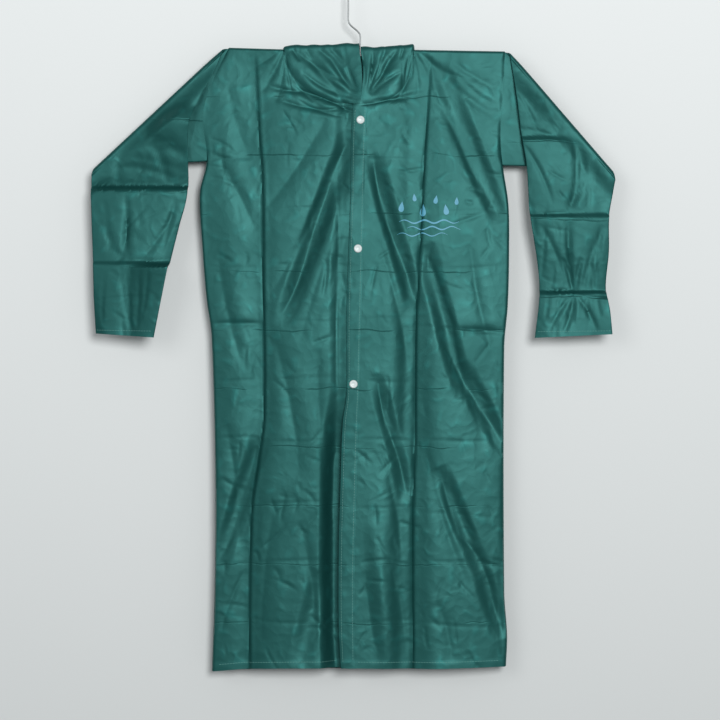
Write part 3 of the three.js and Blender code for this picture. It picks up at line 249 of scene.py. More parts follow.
LEFT_SLEEVE_CREASES = [
    (574, 138, 570, 216, 4, 1.8, 5, 1.3), (570, 222, 573, 292, -3, 2.0, 5, 1.5),
    (540, 225, 566, 290, 3, 1.5, 5, 1.1), (604, 226, 582, 290, -3, 1.6, 5, 1.1),
    (573, 295, 562, 334, 2, 2.4, 3.6, 1.4), (571, 295, 548, 332, -2, 1.8, 3, 1.0),
    (575, 295, 596, 332, 2, 1.8, 3, 1.0), (562, 258, 572, 292, 1, 2.6, 3.0, 1.6),
    (581, 258, 575, 292, -1, 2.0, 3.4, 1.4), (588, 150, 566, 210, 5, 1.5, 5, 1.0),
    (518, 130, 560, 140, 2, 1.2, 2.8, 0.9), (556, 139, 594, 140, -1, 1.1, 2.6, 0.9),
    (573, 139, 576, 178, 1, 1.1, 2.4, 0.8), (576, 176, 567, 216, 1, 1.1, 2.4, 0.8),
    (567, 214, 573, 293, -2, 1.1, 2.4, 0.8), (528, 217, 568, 215, 1, 1.3, 2.4, 1.0),
    (566, 216, 608, 218, -1, 1.2, 2.4, 0.9), (538, 294, 574, 292, 1, 1.7, 2.8, 1.3),
    (572, 293, 607, 294, -1, 1.6, 2.8, 1.2), (548, 294, 543, 322, 1, 1.0, 2.2, 0.7),
    (560, 294, 556, 316, -1, 0.9, 2.0, 0.6), (584, 294, 588, 326, 1, 1.0, 2.2, 0.7),
    (596, 294, 600, 318, -1, 0.9, 2.0, 0.6), (572, 295, 573, 330, 0, 1.0, 2.2, 0.7),
    (553, 262, 550, 291, 1, 0.9, 2.4, 0.6), (590, 258, 593, 291, -1, 0.9, 2.4, 0.6),
    (524, 146, 552, 206, 3, 1.3, 3.4, 0.9), (594, 150, 588, 210, -2, 1.1, 3.0, 0.7),
    (544, 222, 540, 282, 1, 1.0, 3.0, 0.7), (600, 224, 598, 284, -1, 0.9, 2.8, 0.6),
    (516, 92, 536, 132, 2, 1.1, 3.2, 0.7), (536, 92, 556, 128, 2, 1.0, 3.2, 0.7),
    (546, 170, 568, 182, -1, 0.7, 2.6, 0.4),
]
NECK_CREASES = [
    (356, 92, 344, 66, 0, 2.4, 2.4, 1.2), (345, 68, 327, 46, -1, 2.3, 2.8, 1.4),
    (352, 92, 333, 64, 1, 1.7, 2.4, 1.1), (335, 66, 316, 48, -1, 1.9, 4.2, 1.4),
    (349, 84, 297, 52, 3, 1.6, 4.0, 1.3), (352, 98, 302, 72, 4, 1.6, 4.0, 1.3),
    (354, 105, 292, 84, 5, 1.7, 4.4, 1.4), (350, 80, 343, 46, 1, 1.0, 2.0, 0.7),
    (346, 110, 268, 94, 6, 1.8, 4.6, 1.4), (343, 117, 298, 100, 3, 1.2, 3.4, 0.8),
    (358, 104, 334, 100, 1, 1.1, 3.0, 0.3), (336, 101, 309, 92, 1, 0.6, 3.2, 0.2),
    (311, 93, 291, 75, 1, 0.4, 3.0, 0.1), (292, 77, 284, 49, 1, 0.5, 2.8, 0.1),
    (356, 94, 330, 56, 2, 3.4, 5.5, 2.2), (358, 100, 310, 60, 5, 2.6, 6.5, 2.0),
    (368, 94, 390, 56, -2, 3.0, 5.0, 2.0), (284, 60, 322, 108, -5, 2.4, 7.0, 1.8),
    (412, 58, 392, 104, 5, 2.2, 6.0, 1.6), (330, 84, 352, 128, 2, 1.8, 5.0, 1.2),
    (363, 88, 361.5, 46, 0, 1.1, 1.8, 0.6), (366, 90, 373, 50, -1, 1.8, 2.4, 1.1),
    (369, 88, 380, 62, -1, 1.8, 2.4, 1.1), (380, 64, 388, 46, 1, 1.7, 2.6, 1.0),
    (369, 90, 384, 73, 0, 1.6, 2.4, 1.0), (382, 74, 398, 50, 1, 1.7, 3.0, 1.1),
    (370, 96, 402, 72, 2, 1.4, 3.2, 1.0), (360, 104, 386, 100, -1, 0.8, 2.6, 0.3),
    (384, 101, 401, 91, -1, 0.5, 2.6, 0.2), (400, 92, 411, 74, -1, 0.4, 2.6, 0.1),
    (410, 76, 414, 51, -1, 0.5, 2.6, 0.1), (372, 101, 430, 93, -2, 1.5, 3.2, 1.0),
    (300, 62, 290, 45, 0, 1.2, 3.0, 0.8), (312, 60, 304, 45, 0, 1.0, 2.6, 0.7),
    (284, 48, 262, 92, 3, 1.9, 4.6, 1.2), (285, 50, 276, 104, 2, 1.5, 3.8, 1.0),
    (286, 52, 294, 98, -2, 1.2, 3.4, 0.8), (283, 47, 248, 70, 2, 1.5, 4.6, 1.0),
    (412, 50, 418, 96, 2, 1.6, 3.2, 1.1), (414, 51, 432, 92, 2, 1.8, 3.6, 1.2),
    (414, 49, 446, 84, 3, 1.6, 4.0, 1.1), (410, 54, 404, 90, -1, 1.2, 2.8, 0.8),
    (400, 60, 405, 46, 0, 1.0, 2.2, 0.6),
]
HOOD_BACK_CREASES = [
    (276, 120, 350, 128, 2, 1.1, 3.0, 0.8), (368, 130, 440, 118, 3, 1.1, 3.0, 0.8),
    (300, 90, 292, 210, 2, 1.2, 3.2, 0.8), (420, 90, 428, 205, -2, 1.2, 3.2, 0.8),
    (280, 168, 348, 160, -2, 1.0, 2.8, 0.7), (366, 162, 438, 171, 2, 1.0, 2.8, 0.7),
    (334, 60, 326, 140, 1, 1.0, 2.8, 0.6), (386, 60, 392, 146, -1, 1.0, 2.8, 0.6),
]

# %% [markdown]
# ## Form of the hood and the sleeves
#
# The hood is folded back over the neck. The sleeves stand out from the armholes and are then bent
# forward and down along a slanting line. A sleeve's "lean" is how far it stands forward at a grid row,
# so its flat facets meet in creases, and "slant" tilts the upper ones. "Turned" is the grid column and
# row beyond which its cuff turns to face inwards, with its slope.

# %% Hood and sleeves
HOOD_FOLD_Z = -101.4
HOOD_FOLD_RADIUS = 2.6
HOOD_LENGTH = 268
HOOD_CROWN_DROP = 74
HOOD_END_ROLL = 3
HOOD_PLEATS = 1.4
HOOD_SET_BACK = 6.8
HOOD_LEAST_DEPTH = 0.3
HOOD_HALF_WIDTH = {-1: 119, 1: 113}
HOOD_HALF = [(0, 3.2), (19, 3.2), (60, 4.4), (130, 7.4), (185, 7.4), (225, 6), (268, 4.6)]
HOOD_DRIFT = [(0, 0), (19, 0), (60, 1.4), (130, 5), (185, 6), (225, 6), (268, 5)]
HOOD_SLIT = [(0, 1.2), (19, 1.4), (60, 4), (130, 9), (185, 5), (225, 0.15), (268, 0.15)]
HOOD_SPREAD = [(0, 0), (19, 0.06), (60, 0.45), (130, 1), (185, 1), (225, 0.9), (268, 0.75)]
SLEEVE_ROOT_DEPTH = 1.5
SLEEVE_ROOT_SWELL = 1.6
SLEEVE_END_ROLL = 2
BEND_RADIUS_TOP = 2.2
BEND_RADIUS = 3.4
RIGHT_SLEEVE = {
    "side": -1,
    "fold": ((-184.6, -100.4), (-370, -273.4)),
    "root_end": (-361.5, -266),
    "hang_top": (-192.6, -107.6),
    "inner": [
        (-107.6, -192.6), (-137, -206), (-172, -224), (-208, -238.6), (-303.8, -240.6), (-351.4, -252.4),
        (-401.8, -265), (-452, -275.6), (-505, -286.3),
    ],
    "outer": [(-279, -375.2), (-303.8, -375.6), (-401.8, -372.4), (-452, -371), (-499.4, -368.2)],
    "half": [(0, 3), (0.15, 3.4), (0.4, 5.4), (0.6, 8), (0.8, 12), (1, 18)],
    "middle": [(0, 12), (0.15, 12.4), (0.4, 14), (0.6, 15), (0.8, 15), (1, 16)],
    "lean": [(100, 0), (120, 10), (187, -10), (190, 1.6), (262, -1.8), (264, 1.6), (336, 0)],
    "turned": (131, 264, 0.42),
    "slant": -0.25,
}
LEFT_SLEEVE = {
    "side": 1,
    "fold": ((203.4, -105.6), (351, -276.9)),
    "root_end": (342.6, -267.2),
    "hang_top": (209.8, -113),
    "inner": [
        (-113, 209.8), (-154, 216.6), (-221, 225), (-266, 232.4), (-330, 236.6), (-397.6, 247),
        (-439.6, 250.4), (-505.4, 243.6),
    ],
    "outer": [
        (-283.8, 357), (-301, 353.6), (-336, 347.6), (-385, 347.2), (-435.4, 343.2), (-469, 348.4),
        (-500.4, 351.4),
    ],
    "half": [(0, 3), (0.15, 3.4), (0.4, 5.2), (0.6, 6.4), (0.8, 5), (0.9, 7), (1, 9)],
    "middle": [(0, 12), (0.15, 12.4), (0.4, 14), (0.6, 14), (0.8, 13), (0.9, 14), (1, 14)],
    "lean": [
        (60, 0), (100, 2), (138, -2.4), (140, 1.6), (215, -2.6), (217, 1.8), (291, -4.4), (294, 2.6),
        (336, 1),
    ],
    "turned": (590, 296, 0.2),
    "slant": 0,
}


# %% [markdown]
# ## Curves and fields
#
# A table becomes a smooth curve through its rows. Every cloth surface is a depth over height and width,
# in front of or behind the coat's middle plane.

# %% Curves through tables
def mix(a, b, s):
    return a + (b - a) * s


def smooth(s):
    s = np.clip(s, 0, 1)
    return s * s * (3 - 2 * s)


def mound(away, reach):
    """A ridge of height 1, by the distance from its middle line."""
    return np.exp(-((away / reach) ** 2))


def quarter(s):
    """Quarter of a circle rising from 0 to 1, and its mirror image below 0."""
    s = np.asarray(s, float)
    size = np.clip(np.abs(s), 0, 1)
    return np.sign(s) * np.sqrt(1 - (1 - size) ** 2)


def curve_through(rows):
    """Smooth curve through the rows of a table, from its first column to its second."""
    u = np.array([row[0] for row in rows], float)
    v = np.array([row[1] for row in rows], float)
    before = np.maximum(np.arange(len(u)) - 1, 0)
    after = np.minimum(np.arange(len(u)) + 1, len(u) - 1)
    slope = (v[after] - v[before]) / (u[after] - u[before])
    rising = 1 if u[1] > u[0] else -1

    def at(x):
        x = np.asarray(x, float)
        k = np.clip(np.searchsorted(rising * u, rising * x) - 1, 0, len(u) - 2)
        run = u[k + 1] - u[k]
        s = np.clip((x - u[k]) / run, 0, 1)
        straight = mix(v[k], v[k + 1], s * s * (3 - 2 * s))
        return straight + s * (1 - s) * run * ((1 - s) * slope[k] - s * slope[k + 1])

    return at


right_edge = curve_through(RIGHT_OUTLINE)
left_edge = curve_through(LEFT_OUTLINE)
front_hem = curve_through(FRONT_HEM)
back_hem = curve_through(BACK_HEM)
opening_edge = curve_through(OPENING_EDGE)
band_edge = curve_through(BAND_EDGE)
right_crease = curve_through(RIGHT_CREASE)
left_crease = curve_through(LEFT_CREASE)
front_depth = curve_through(FRONT_DEPTH)
back_depth = curve_through(BACK_DEPTH)
hood_half = curve_through(HOOD_HALF)
hood_drift = curve_through(HOOD_DRIFT)
hood_slit = curve_through(HOOD_SLIT)
hood_spread = curve_through(HOOD_SPREAD)


# %% Folds and creases as fields
def folds_at(x, z, folds):
    """How far long soft folds sink at a place."""
    sunk = np.zeros(np.broadcast(x, z).shape)
    for from_x, from_z, to_x, to_z, depth, reach in folds:
        run_x, run_z = to_x - from_x, to_z - from_z
        length = math.hypot(run_x, run_z)
        share = ((x - from_x) * run_x + (z - from_z) * run_z) / length**2
        away = np.abs((x - from_x) * run_z - (z - from_z) * run_x) / length
        ends = np.sin(np.pi * np.clip(share, 0, 1)) ** 0.7
        sunk += depth * ends * np.cos(np.pi / 2 * np.minimum(away / reach, 1)) ** 2
    return sunk


def creases_at(x, z, creases):
    """How far sharp creases sink at a place; each has a lip on its left."""
    sunk = np.zeros(np.broadcast(x, z).shape)
    for column_0, row_0, column_1, row_1, bow, depth, reach, lip in creases:
        from_x, from_z = (column_0 - GRID_LEFT) * CELL, -(row_0 + GRID_TOP) * CELL
        run_x, run_z = (column_1 - column_0) * CELL, -(row_1 - row_0) * CELL
        length = math.hypot(run_x, run_z)
        share = np.clip(((x - from_x) * run_x + (z - from_z) * run_z) / length**2, 0, 1)
        left = ((z - from_z) * run_x - (x - from_x) * run_z) / length
        near = (left - bow * CELL * 4 * share * (1 - share)) / reach
        ends = np.sin(np.pi * share) ** 0.6
        valley = np.exp(-1.25 * (np.sqrt(near**2 + 0.03) - 0.17))
        sunk += ends * (depth * valley - LIP_SHARE * lip * mound(near - 1.8, 1.3))
    return sunk


def small_creases(seed, count, box, slant):
    """Short faint creases of uneven length, depth and direction, within (left, top, right, bottom)."""
    rng = np.random.default_rng(seed)
    rows = []
    for _ in range(count):
        column = rng.uniform(box[0], box[2])
        row = rng.uniform(box[1], box[3])
        turn = rng.normal(slant, 0.7)
        length = rng.uniform(9, 34)
        depth = rng.uniform(0.3, 0.9)
        to = (column + length * math.cos(turn), row + length * math.sin(turn))
        rows.append((column, row, *to, rng.uniform(-2, 2), depth, rng.uniform(1.8, 3.2), depth * 0.7))
    return rows


FRONT_CREASES += [(*row[:5], row[5] * LEVEL_SHARE, row[6], row[7] * LEVEL_SHARE) for row in LEVEL_CREASES]
FRONT_CREASES += BROAD_FOLDS
FRONT_CREASES += small_creases(3, 170, (212, 60, 500, 650), 1.1)
BACK_CREASES += small_creases(5, 130, (212, 60, 500, 650), 1.4)
RIGHT_SLEEVE_CREASES += small_creases(7, 34, (98, 90, 190, 325), 0.6)
LEFT_SLEEVE_CREASES += small_creases(11, 34, (515, 90, 605, 325), 1.9)
HOOD_BACK_CREASES += small_creases(13, 30, (280, 60, 440, 220), 1.2)


# %% [markdown]
# The fronts and the back roll in to the side seams and the shoulder seams, and stand a little open at
# the armholes, where the sleeves are sewn in.

# %% Surfaces of the coat
def lifted(depth):
    """A depth that never falls below the least one, eased towards it."""
    return LEAST_DEPTH + DEPTH_EASE * np.logaddexp(0, (depth - LEAST_DEPTH) / DEPTH_EASE)


def lens_at(x, flattened):
    """Share of the depth in the middle that is left towards the sides."""
    return 1 - flattened * np.minimum(np.abs(x) / HALF_WIDTH, 1) ** 3


def below_shoulder(x, z, corner, shoulder):
    run_x, run_z = shoulder[0] - corner[0], shoulder[1] - corner[1]
    share = np.clip(((x - corner[0]) * run_x + (z - corner[1]) * run_z) / (run_x**2 + run_z**2), 0, 1)
    line_x, line_z = corner[0] + share * run_x, corner[1] + share * run_z
    away = np.hypot(x - line_x, z - line_z)
    return np.where((z > line_z) & (share > 0), -away, away)


def armhole_at(z, shoulder, underarm):
    height = shoulder[1] - underarm[1]
    share = np.clip((shoulder[1] - z) / height, 0, 1)
    from_end = np.minimum(share, 1 - share) * height
    swell = SLEEVE_ROOT_DEPTH + SLEEVE_ROOT_SWELL * np.sin(np.pi * share)
    depth = np.maximum(SEAM / 2, swell * quarter(from_end / SLEEVE_END_ROLL))
    return depth, smooth(from_end / 14)


def rolled_depth(x, z, full):
    from_right, from_left = x - right_edge(z), left_edge(z) - x
    on_right = from_right < from_left
    inset = np.minimum(from_right, from_left)
    depth_r, open_r = armhole_at(z, RIGHT_SHOULDER, RIGHT_UNDERARM)
    depth_l, open_l = armhole_at(z, LEFT_SHOULDER, LEFT_UNDERARM)
    start, opened = np.where(on_right, depth_r, depth_l), np.where(on_right, open_r, open_l)
    roll = np.minimum(EDGE_ROLL, full * 1.1)
    side = start + (full - start) * mix(quarter(inset / roll), smooth(inset / (1.6 * roll)), opened)
    below = np.where(
        on_right,
        below_shoulder(x, z, RIGHT_CORNER, RIGHT_SHOULDER),
        below_shoulder(x, z, LEFT_CORNER, LEFT_SHOULDER),
    )
    return SEAM / 2 + (side - SEAM / 2) * quarter(below / SEAM_ROLL)


def front_at(x, z, creased=True):
    """Depth of the fronts; without the neck's creases where the hood adds them itself."""
    lens = lens_at(x, FRONT_LENS)
    left, right = x - left_crease(z), right_crease(z) - x
    lower = 0.35 + 0.65 * smooth((-330 - z) / 260)
    valley = np.exp(-np.abs(left) / 3.2) * smooth(1.4 - np.abs(left) / 22)
    pillow = mound(left - 3, 17) + 0.8 * mound(right - 2, 15)
    beside_band = mound(x - band_edge(z) - 62, 9) + mound(x - opening_edge(z) + 14, 12)
    step = smooth((right + 1.6) / 3.2) * (1 - smooth((right - 8) / 46))
    left_step = smooth((1.6 - left) / 3.2) * (1 - smooth((-left - 6) / 40))
    broad = lower * (5 * pillow + 2 * beside_band)
    sunk = (1 + lower) * valley + 3.2 * step + 3.2 * left_step + broad + folds_at(x, z, FRONT_FOLDS)
    sharp = 1.2 * mound(right, 1.5) - 0.4 * mound(right + 4, 3) + 0.9 * mound(left, 1.4)
    sunk = smooth((-104 - z) / 40) * (sunk + sharp) + creases_at(x, z, FRONT_CREASES)
    if creased:
        sunk = sunk + creases_at(x, z, NECK_CREASES)
    band = 0.35 * smooth((front_hem(x) + 11 - z) / 3)
    snapped = sum(np.exp(-(((x - sx) ** 2 + (z - sz) ** 2) / 90)) for sx, sz in SNAPS)
    near_band = smooth((x + 32) / 14) * smooth((26 - x) / 14)
    full = front_depth(z) * lens - sunk * (1 - 0.55 * near_band * snapped) + band
    return rolled_depth(x, z, lifted(full))


def under_front_at(x, z):
    past = x - opening_edge(z)
    drop = 3 * smooth((past + 26) / 18)
    slit = 15 * smooth((-560 - z) / 130) * smooth((past + 30) / 25)
    return front_at(x, z) - drop - slit


def back_at(x, z):
    ways = [(x - right_crease(z)) / 8, (x - left_crease(z)) / 8]
    valleys = sum(np.cos(np.pi / 2 * np.minimum(np.abs(way), 1)) ** 2 for way in ways)
    sunk = smooth((-110 - z) / 60) * (2.4 * valleys + folds_at(x, z, BACK_FOLDS))
    lens = lens_at(x, BACK_LENS)
    return rolled_depth(x, z, lifted(back_depth(z) * lens - sunk - creases_at(x, z, BACK_CREASES)))


def neck_seam(x):
    corner_x = np.where(x < 0, RIGHT_CORNER[0], LEFT_CORNER[0])
    corner_z = np.where(x < 0, RIGHT_CORNER[1], LEFT_CORNER[1])
    roundness = np.where(x < 0, RIGHT_CORNER[2], LEFT_CORNER[2])
    across = np.clip(np.abs(x) / (np.abs(corner_x) - SEAM), 0, 1)
    return mix(corner_z, THROAT_Z, (1 - across**roundness) ** (1 / roundness))


def top_edge(x, neck):
    right_share = (x - RIGHT_CORNER[0]) / (RIGHT_SHOULDER[0] - RIGHT_CORNER[0])
    left_share = (x - LEFT_CORNER[0]) / (LEFT_SHOULDER[0] - LEFT_CORNER[0])
    top = neck(x) - SEAM
    top = np.where(x < RIGHT_CORNER[0] + STEP, mix(RIGHT_CORNER[1], RIGHT_SHOULDER[1], right_share), top)
    return np.where(x > LEFT_CORNER[0] - STEP, mix(LEFT_CORNER[1], LEFT_SHOULDER[1], left_share), top)


# %% [markdown]
# ## From fields to meshes
#
# A piece of film is a grid of points, made into a mesh and given its thickness inwards. The steps of the
# grid are 2 to 3 mm, fine enough for a crease of 5 mm.

# %% Meshes of the cloth
SHARP_ANGLE = 48
SIDE_INSET = 12


def object_from(name, points, faces):
    """A new object from points in millimetres and faces."""
    mesh = bpy.data.meshes.new(name)
    mesh.from_pydata((np.asarray(points) / 1000).tolist(), [], faces)
    piece = bpy.data.objects.new(name, mesh)
    bpy.context.collection.objects.link(piece)
    return piece


def grid_faces(rows, columns, closed=False, first=0):
    """Faces of a grid of points, as four point numbers each."""
    j, i = np.meshgrid(np.arange(rows - 1), np.arange(columns if closed else columns - 1), indexing="ij")
    k = (i + 1) % columns
    faces = np.stack([j * columns + i, j * columns + k, (j + 1) * columns + k, (j + 1) * columns + i], -1)
    return (first + faces.reshape(-1, 4)).tolist()


def grid_object(name, points, closed=False, thick=FILM):
    """A grid of points in millimetres as an object of film, its normals away from the inside."""
    piece = object_from(name, points.reshape(-1, 3), grid_faces(*points.shape[:2], closed))
    piece.data.validate()
    shell = piece.modifiers.new("film", "SOLIDIFY")
    shell.thickness = thick / 1000
    shell.offset = -1
    apply_modifiers(piece)
    piece.select_set(True)
    bpy.ops.object.shade_smooth_by_angle(angle=math.radians(SHARP_ANGLE))
    piece.select_set(False)
    return piece


def face_outwards(piece):
    bpy.context.view_layer.objects.active = piece
    piece.select_set(True)
    bpy.ops.object.mode_set(mode="EDIT")
    bpy.ops.mesh.select_all(action="SELECT")
    bpy.ops.mesh.normals_make_consistent(inside=False)
    bpy.ops.object.mode_set(mode="OBJECT")
    bpy.ops.object.shade_smooth()
    piece.select_set(False)
    return piece


def apply_modifiers(piece):
    bpy.context.view_layer.objects.active = piece
    piece.select_set(True)
    for modifier in list(piece.modifiers):
        bpy.ops.object.modifier_apply(modifier=modifier.name)
    piece.select_set(False)


def panel_points(columns, depth, facing, top, hem, counts):
    """Points of a panel of the coat: columns are lines down it, rows are close where it turns."""
    chest, under, rest = counts
    levels = [smooth_start(chest), np.linspace(0, 1, under, endpoint=False), np.linspace(0, 1, rest)]
    grid = []
    for column in columns:
        x = column(np.array(CHEST_Z, float))
        for _ in range(14):
            x = column(top(x))
        top_z = top(x)
        share = (x - RIGHT_UNDERARM[0]) / (LEFT_UNDERARM[0] - RIGHT_UNDERARM[0])
        marks = [top_z, CHEST_Z, mix(RIGHT_UNDERARM[1], LEFT_UNDERARM[1], share)]
        marks.append(hem(column(np.array(HEM_Z, float))))
        z = np.concatenate([mix(marks[n], marks[n + 1], levels[n]) for n in range(3)])
        across = column(z)
        across[0] = x
        grid.append(np.stack([across, np.zeros_like(z), z], -1))
    points = np.stack(grid, 1)
    points[..., 1] = facing * np.maximum(depth(points[..., 0], points[..., 2]), SEAM / 2)
    return points


def smooth_start(count):
    """Shares from 0 up to 1, without the 1, closer together at the start."""
    return np.linspace(0, 1, count, endpoint=False) ** 1.6


def line_between(a, b, share):
    return lambda z: mix(a(z), b(z), share)


def columns_between(a, b, count):
    return [line_between(a, b, (k + 1) / count) for k in range(count)]


def neck_columns(corner, start, line, count):
    """Columns that meet the neck seam at places bunched towards its corner."""
    side = math.copysign(1, corner[0])
    columns = []
    for k in range(1, count + 1):
        share = math.sin(math.pi / 2 * k / count)
        seat = corner[0] if k == count else side * mix(HOOD_SLIT[0][1], abs(corner[0]) - SEAM, share)
        below = line_between(start, line, k / count)
        columns.append(lambda z, b=below, s=seat: mix(b(z), s, smooth((z + 260) / 80)))
    return columns


def roll_columns(edge, side, count=6):
    turns = [math.sin(math.pi / 2 * (k + 1) / count) for k in range(count)]
    return [lambda z, t=turn: edge(z) - side * SIDE_INSET * (1 - t) for turn in turns]


def right_corner_line(z):
    return mix(RIGHT_CORNER[0], -110, smooth((-180 - z) / 300))


def left_corner_line(z):
    return mix(LEFT_CORNER[0], 48, smooth((-180 - z) / 260))


def under_edge(z):
    return opening_edge(z) + OVERLAP


def right_inset(z):
    return right_edge(z) + SIDE_INSET


def left_inset(z):
    return left_edge(z) - SIDE_INSET


def front_top(x):
    return top_edge(x, neck_seam)


def back_top(x):
    return top_edge(x, lambda at: BACK_NECK_Z + 0 * at)


# %% [markdown]
# ### Fronts, back and snap band
#
# The band carries the snaps: it is a strip made from the left front's own points, moved out.

# %% Build the fronts, the back and the band
ROWS = (50, 27, 312)
BACK_ROWS = (30, 16, 200)
right_columns = [
    under_edge,
    *neck_columns(RIGHT_CORNER, under_edge, right_corner_line, 56),
    *columns_between(right_corner_line, right_inset, 46),
    *roll_columns(right_edge, -1),
]
band_columns = [line_between(opening_edge, band_edge, k / 8) for k in range(9)]
left_columns = [
    *band_columns,
    *neck_columns(LEFT_CORNER, band_edge, left_corner_line, 30),
    *columns_between(left_corner_line, left_inset, 68),
    *roll_columns(left_edge, 1),
]
back_columns = [
    *roll_columns(right_edge, -1)[::-1],
    right_inset,
    *columns_between(right_inset, right_corner_line, 30),
    *columns_between(right_corner_line, left_corner_line, 56),
    *columns_between(left_corner_line, left_inset, 44),
    *roll_columns(left_edge, 1),
]
right_points = panel_points(right_columns, under_front_at, -1, front_top, front_hem, ROWS)
left_points = panel_points(left_columns, front_at, -1, front_top, front_hem, ROWS)
back_points = panel_points(back_columns, back_at, 1, back_top, back_hem, BACK_ROWS)

front_right = grid_object("film_front_right", right_points)
front_left = grid_object("film_front_left", left_points[:, ::-1])
back = grid_object("film_back", back_points[:, ::-1])

BAND_OUT = 1.3
band_points = left_points[3:, :9].copy()
across = np.linspace(0, 1, 9)[None, :]
edge_round = 0.35 * (1 - quarter(np.minimum(across, 1 - across) / 0.13))
band_points[..., 1] -= BAND_OUT - edge_round
band = grid_object("film_placket", band_points[:, ::-1], thick=BAND_FILM)


# %% [markdown]
# ### Hood
#
# Each half runs from the front slit round its side fold to the seam at the middle of the back. Its way
# starts at the neck seam, goes up to the fold and hangs down behind.

# %% Build the hood
def hood_brim(x):
    """How far the turned top edge of the hood rises or dips along its length."""
    on_right = -0.6 + 3.2 * smooth((x + 119) / 119)
    on_left = -2.4 + 5 * smooth(x / 113)
    puckers = 0.8 * np.sin(x / 7.3 + 1.1) * np.sin(x / 18 + 0.4) + 0.4 * np.sin(x / 3.9)
    return np.where(x < 0, on_right, on_left) + puckers


def hood_points(side):
    even = np.linspace(0, 1, 52)
    shares = mix(even, np.sin(np.pi / 2 * even), 0.5)
    share = np.concatenate([shares, shares[-2::-1]])
    front = np.arange(len(share)) < len(shares)
    turned = math.pi * HOOD_FOLD_RADIUS
    neck = abs(RIGHT_CORNER[0]) if side < 0 else LEFT_CORNER[0]
    end_at = HOOD_LENGTH - HOOD_CROWN_DROP * (1 - np.sqrt(np.maximum(1 - share**3, 0)))
    rows = []
    steps = [("rise", s) for s in np.linspace(0, 1, 34)]
    steps += [("turn", s) for s in np.linspace(0, 1, 10)[1:]]
    steps += [("hang", s) for s in np.sin(np.linspace(0, np.pi / 2, 96))[1:]]
    for kind, s in steps:
        last = kind == "hang" and s == 1
        along = np.zeros_like(share)
        for _ in range(3):
            width = mix(neck, HOOD_HALF_WIDTH[side], hood_spread(np.maximum(along, 0))) - SEAM
            parted = hood_slit(np.maximum(along, 0)) * smooth(1 + along / 74)
            slit = np.where(front & (not last), np.maximum(parted, SEAM / 2), SEAM / 2)
            x = side * mix(slit, width, share)
            seam_along = np.minimum(neck_seam(x) - HOOD_FOLD_Z, 0)
            if kind == "rise":
                along = mix(np.where(front & (share < 1), seam_along, 0), 1, s)
            elif kind == "turn":
                along = np.full_like(share, max(turned * s, 1.2))
            else:
                along = mix(turned, end_at, s)
        round_in = quarter((width - np.abs(x)) / HOOD_END_ROLL)
        hanging = hood_half(np.maximum(along, 0)) * round_in * quarter((end_at - along) / 9)
        back_seam = back_at(x, np.full_like(x, BACK_NECK_Z - SEAM))
        back_depth_here = mix(back_seam, hanging, smooth(along / 7))
        front_seam = front_at(x, neck_seam(x) - SEAM, creased=False)
        over_seam = np.clip(1 - along / np.minimum(seam_along, -1), 0, 1)
        risen = np.where(seam_along < -1, over_seam, smooth(along / 3 + 1))
        free = smooth((turned - along) / 12) * mix(1, round_in, smooth(risen * 4))
        pleats = HOOD_PLEATS * free * creases_at(x, HOOD_FOLD_Z + np.minimum(along, -2), NECK_CREASES)
        unpleated = np.maximum(mix(front_seam, hanging, smooth(risen) ** 2.2), 0.5)
        front_depth_here = unpleated * np.exp(-pleats / unpleated)
        depth = np.where(front, front_depth_here, back_depth_here)
        behind = smooth((along - turned) / 30) * smooth((end_at - along) / 20) * round_in
        low = HOOD_FOLD_Z - np.maximum(along - turned, 0)
        depth = depth - behind * creases_at(x, low, HOOD_BACK_CREASES) * np.where(front, 1, 0.6)
        depth = np.maximum(depth, HOOD_LEAST_DEPTH)
        depth = np.where((share == 1) | last, 0, depth)
        out = np.where(front, -1, 1) * depth
        turn = np.clip(along / turned, 0, 1) * np.pi
        reach = HOOD_FOLD_RADIUS - out
        swerve = np.where(front, 3.4 * np.sin(np.pi * np.clip(-along / 76, 0, 1)) * (1 - share) ** 3, 0)
        x = x + swerve
        drift = hood_drift(np.maximum(along, 0)) + HOOD_SET_BACK * smooth((along - turned) / 30)
        y = HOOD_FOLD_RADIUS - reach * np.cos(turn) + drift
        z = HOOD_FOLD_Z + np.minimum(along, 0) + reach * np.sin(turn) - np.maximum(along - turned, 0)
        near_fold = smooth(1 - np.abs(along - turned / 2) / 60)
        z = z + near_fold * hood_brim(x)
        rows.append(np.stack([x, y, z], -1))
    return np.stack(rows)


hood_right_points = hood_points(-1)
hood_left_points = hood_points(1)
hood_right = grid_object("film_hood_right", hood_right_points)
hood_left = grid_object("film_hood_left", hood_left_points[:, ::-1])


# %% [markdown]
# ### Sleeves
#
# A sleeve is a flattened tube. Its stations are rings across it: first out from the armhole, then round
# the slanting bend, then down to the cuff.

# %% Build the sleeves
def tube_shares(length, roll):
    turns = np.linspace(0, 1, 7)
    rolled = roll * (1 - np.cos(np.pi / 2 * turns)) / length
    middle = np.linspace(roll, length - roll, 40)[1:-1] / length
    return np.concatenate([rolled, middle, 1 - rolled[::-1]])


